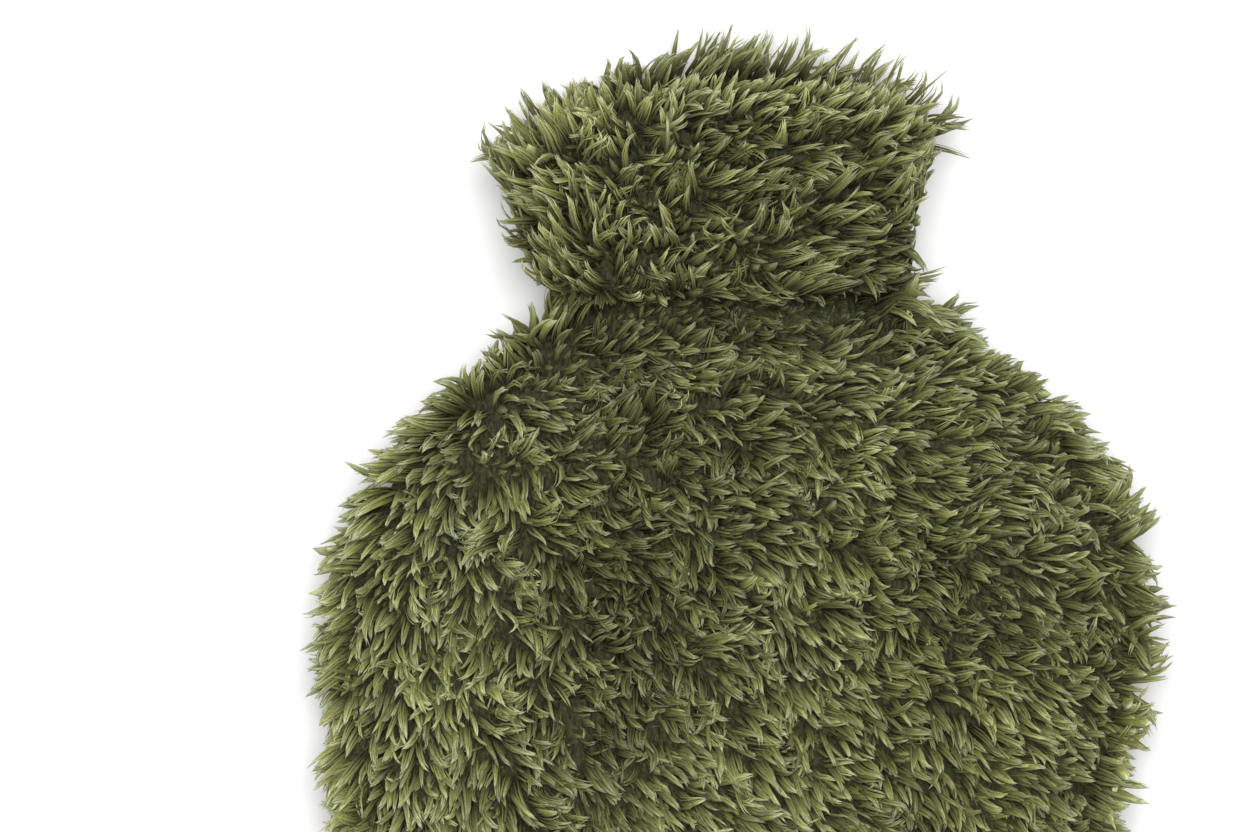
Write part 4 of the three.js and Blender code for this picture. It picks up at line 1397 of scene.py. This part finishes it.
class COVER_OT_back(bpy.types.Operator):
    """Builds the back cloth and the pile pressed flat under it."""

    bl_idname = "cover.back"
    bl_label = "Back"

    def execute(self, context):
        scene = context.scene
        pile = scene.cover_pile
        random = np.random.default_rng(pile.seed + 1)
        x, y = body_grid()
        z = back_cloth_height(x, y)
        z[:, 0] = z[:, -1] = z[0] = SEAM_Z - 2.0 * MM
        mesh = grid_mesh("back_cloth", np.stack([x, y, z], -1)[:, ::-1])
        cloth = place_piece("back_cloth", mesh, cloth_material(scene.cover_cloth), ["back_panel"])
        thickened(cloth, scene.cover_cloth.thickness, -1.0)
        parts = MeshParts()
        add_cores(parts, back_locks(pile, random), 2.4)
        piece = place_piece("back_pile", parts.mesh("back_pile"), pile_material(pile), [])
        return {"FINISHED"}


class COVER_OT_rim(bpy.types.Operator):
    """Builds the pile round the side seam."""

    bl_idname = "cover.rim"
    bl_label = "Rim"

    def execute(self, context):
        pile = context.scene.cover_pile
        random = np.random.default_rng(pile.seed + 2)
        parts = MeshParts()
        add_locks(parts, rim_locks(pile, random, *RIM_ABOVE, 3.6 * MM), pile, random)
        under = rim_locks(pile, random, *RIM_BELOW, 4.4 * MM)
        under["width"] = under["width"] * 1.5
        add_cores(parts, under)
        place_piece("rim_locks", parts.mesh("rim_locks"), pile_material(pile), ["rim_pile"])
        return {"FINISHED"}


class COVER_OT_collar(bpy.types.Operator):
    """Builds the doubled collar and the pile on it, on its fold and at its free edge."""

    bl_idname = "cover.collar"
    bl_label = "Collar"

    def execute(self, context):
        scene = context.scene
        pile = scene.cover_pile
        random = np.random.default_rng(pile.seed + 3)
        angle = even_angles(64, 58 * MM, 21 * MM)[0]
        rows = [collar_outside(angle, share) for share in np.linspace(0, 1, 26)]
        for turn in np.linspace(0.18, 0.82, 5):
            half_gap = (COLLAR["inner_depth"] - COLLAR["pile_depth"]) / 2
            depth = COLLAR["pile_depth"] + half_gap * (1 - math.cos(math.pi * turn))
            half_x, half_z = (size - depth for size in COLLAR["top_half"])
            y = collar_line(angle, COLLAR["fold"]) + COLLAR["fold_rise"] * math.sin(math.pi * turn)
            rows.append(oval(angle, half_x, half_z, COLLAR["top_shift"], y))
        rows += [collar_inside(angle, share, COLLAR["inner_depth"]) for share in np.linspace(1, 0, 8)]
        mesh = grid_mesh("collar_cloth", np.stack(rows), closed_round=True)
        cloth = place_piece("collar_cloth", mesh, cloth_material(scene.cover_cloth), ["collar"])
        thickened(cloth, scene.cover_cloth.thickness, 0.0)
        material = pile_material(pile)
        outside, beneath = collar_locks(pile, random)
        for name, locks, cores_only, replaced in (
            ("collar_pile", picked(outside, ~beneath), picked(outside, beneath), []),
            ("crown_locks", crown_locks(pile, random), None, ["collar_crown_pile"]),
            ("hem_locks", hem_locks(pile, random), None, ["collar_hem_pile"]),
        ):
            parts = MeshParts()
            add_locks(parts, locks, pile, random, 1.4)
            if cores_only:
                add_cores(parts, cores_only, 1.4)
                short = collar_locks(pile, random, 3.4 * MM)
                short = picked(short[0], ~short[1])
                short["length"] = short["length"] * 0.6
                short["rise"] = short["rise"] * 0.6
                # painted shade: the collar's short pile is made dark, as the shade in the gaps between its
                # locks
                short["tone"] = short["tone"] * 0.2
                add_short_pile(parts, short)
            place_piece(name, parts.mesh(name), material, replaced)
        return {"FINISHED"}


class COVER_OT_stage(bpy.types.Operator):
    """Builds the floor, the light and the camera."""

    bl_idname = "cover.stage"
    bl_label = "Stage"

    def execute(self, context):
        scene = context.scene
        stage = scene.cover_stage
        corners = [(x * FLOOR_HALF, y * FLOOR_HALF, 0) for x, y in ((-1, -1), (1, -1), (1, 1), (-1, 1))]
        mesh = bpy.data.meshes.new("floor")
        mesh.from_pydata(corners, [], [(0, 1, 2, 3)])
        floor = bpy.data.objects.new("floor", mesh)
        scene.collection.objects.link(floor)
        material, shader = new_material("plain_floor")
        set_inputs(material, shader, {
            "Base Color": opaque(stage.floor),
            "Emission Color": opaque(stage.floor),
            "Emission Strength": stage.glow,
            "Roughness": 0.95,
            "Specular IOR Level": 0.1,
        })
        mesh.materials.append(material)

        light = bpy.data.lights.new("key", "AREA")
        light.shape = "DISK"
        light.size = KEY_SIZE
        light.energy = stage.key
        key = bpy.data.objects.new("key", light)
        scene.collection.objects.link(key)
        key.location = KEY_PLACE
        key.rotation_euler = (key.location - Vector(KEY_AIM)).to_track_quat("Z", "Y").to_euler()

        world = bpy.data.worlds.new("studio")
        scene.world = world
        world.use_nodes = True
        background = world.node_tree.nodes["Background"]
        background.inputs["Color"].default_value = (1, 1, 1, 1)
        background.inputs["Strength"].default_value = stage.fill

        lens = bpy.data.cameras.new("camera")
        lens.sensor_width = SENSOR_WIDTH
        lens.lens = SENSOR_WIDTH * stage.distance / stage.view_width
        lens.clip_start = 0.05
        camera = bpy.data.objects.new("camera", lens)
        scene.collection.objects.link(camera)
        camera.location = (*CAMERA_OVER, SEAM_Z + stage.distance)
        scene.camera = camera
        scene.view_settings.view_transform = "Standard"
        return {"FINISHED"}


class COVER_PT_panel(bpy.types.Panel):
    """Lists the steps that build the cover."""

    bl_idname = "COVER_PT_panel"
    bl_label = "Bottle cover"
    bl_space_type = "VIEW_3D"
    bl_region_type = "UI"
    bl_category = "Cover"

    def draw(self, context):
        for settings in (context.scene.cover_cloth, context.scene.cover_pile, context.scene.cover_stage):
            box = self.layout.box()
            for name in settings.__annotations__:
                box.prop(settings, name)
        for step in STEPS:
            self.layout.operator(step.bl_idname)


SETTINGS = {"cover_cloth": CoverCloth, "cover_pile": CoverPile, "cover_stage": CoverStage}
STEPS = (COVER_OT_front, COVER_OT_back, COVER_OT_rim, COVER_OT_collar, COVER_OT_stage)


def register():
    """Registers the classes and hangs the settings on the scene."""
    for kind in (*SETTINGS.values(), *STEPS, COVER_PT_panel):
        bpy.utils.register_class(kind)
    for name, kind in SETTINGS.items():
        setattr(bpy.types.Scene, name, PointerProperty(type=kind))


def unregister():
    """Takes away what register added."""
    for name in SETTINGS:
        delattr(bpy.types.Scene, name)
    for kind in reversed((*SETTINGS.values(), *STEPS, COVER_PT_panel)):
        bpy.utils.unregister_class(kind)


def main():
    """Builds everything in order."""
    register()
    bpy.ops.cover.back()
    bpy.ops.cover.front()
    bpy.ops.cover.rim()
    bpy.ops.cover.collar()
    bpy.ops.cover.stage()


if __name__ == "__main__":
    main()
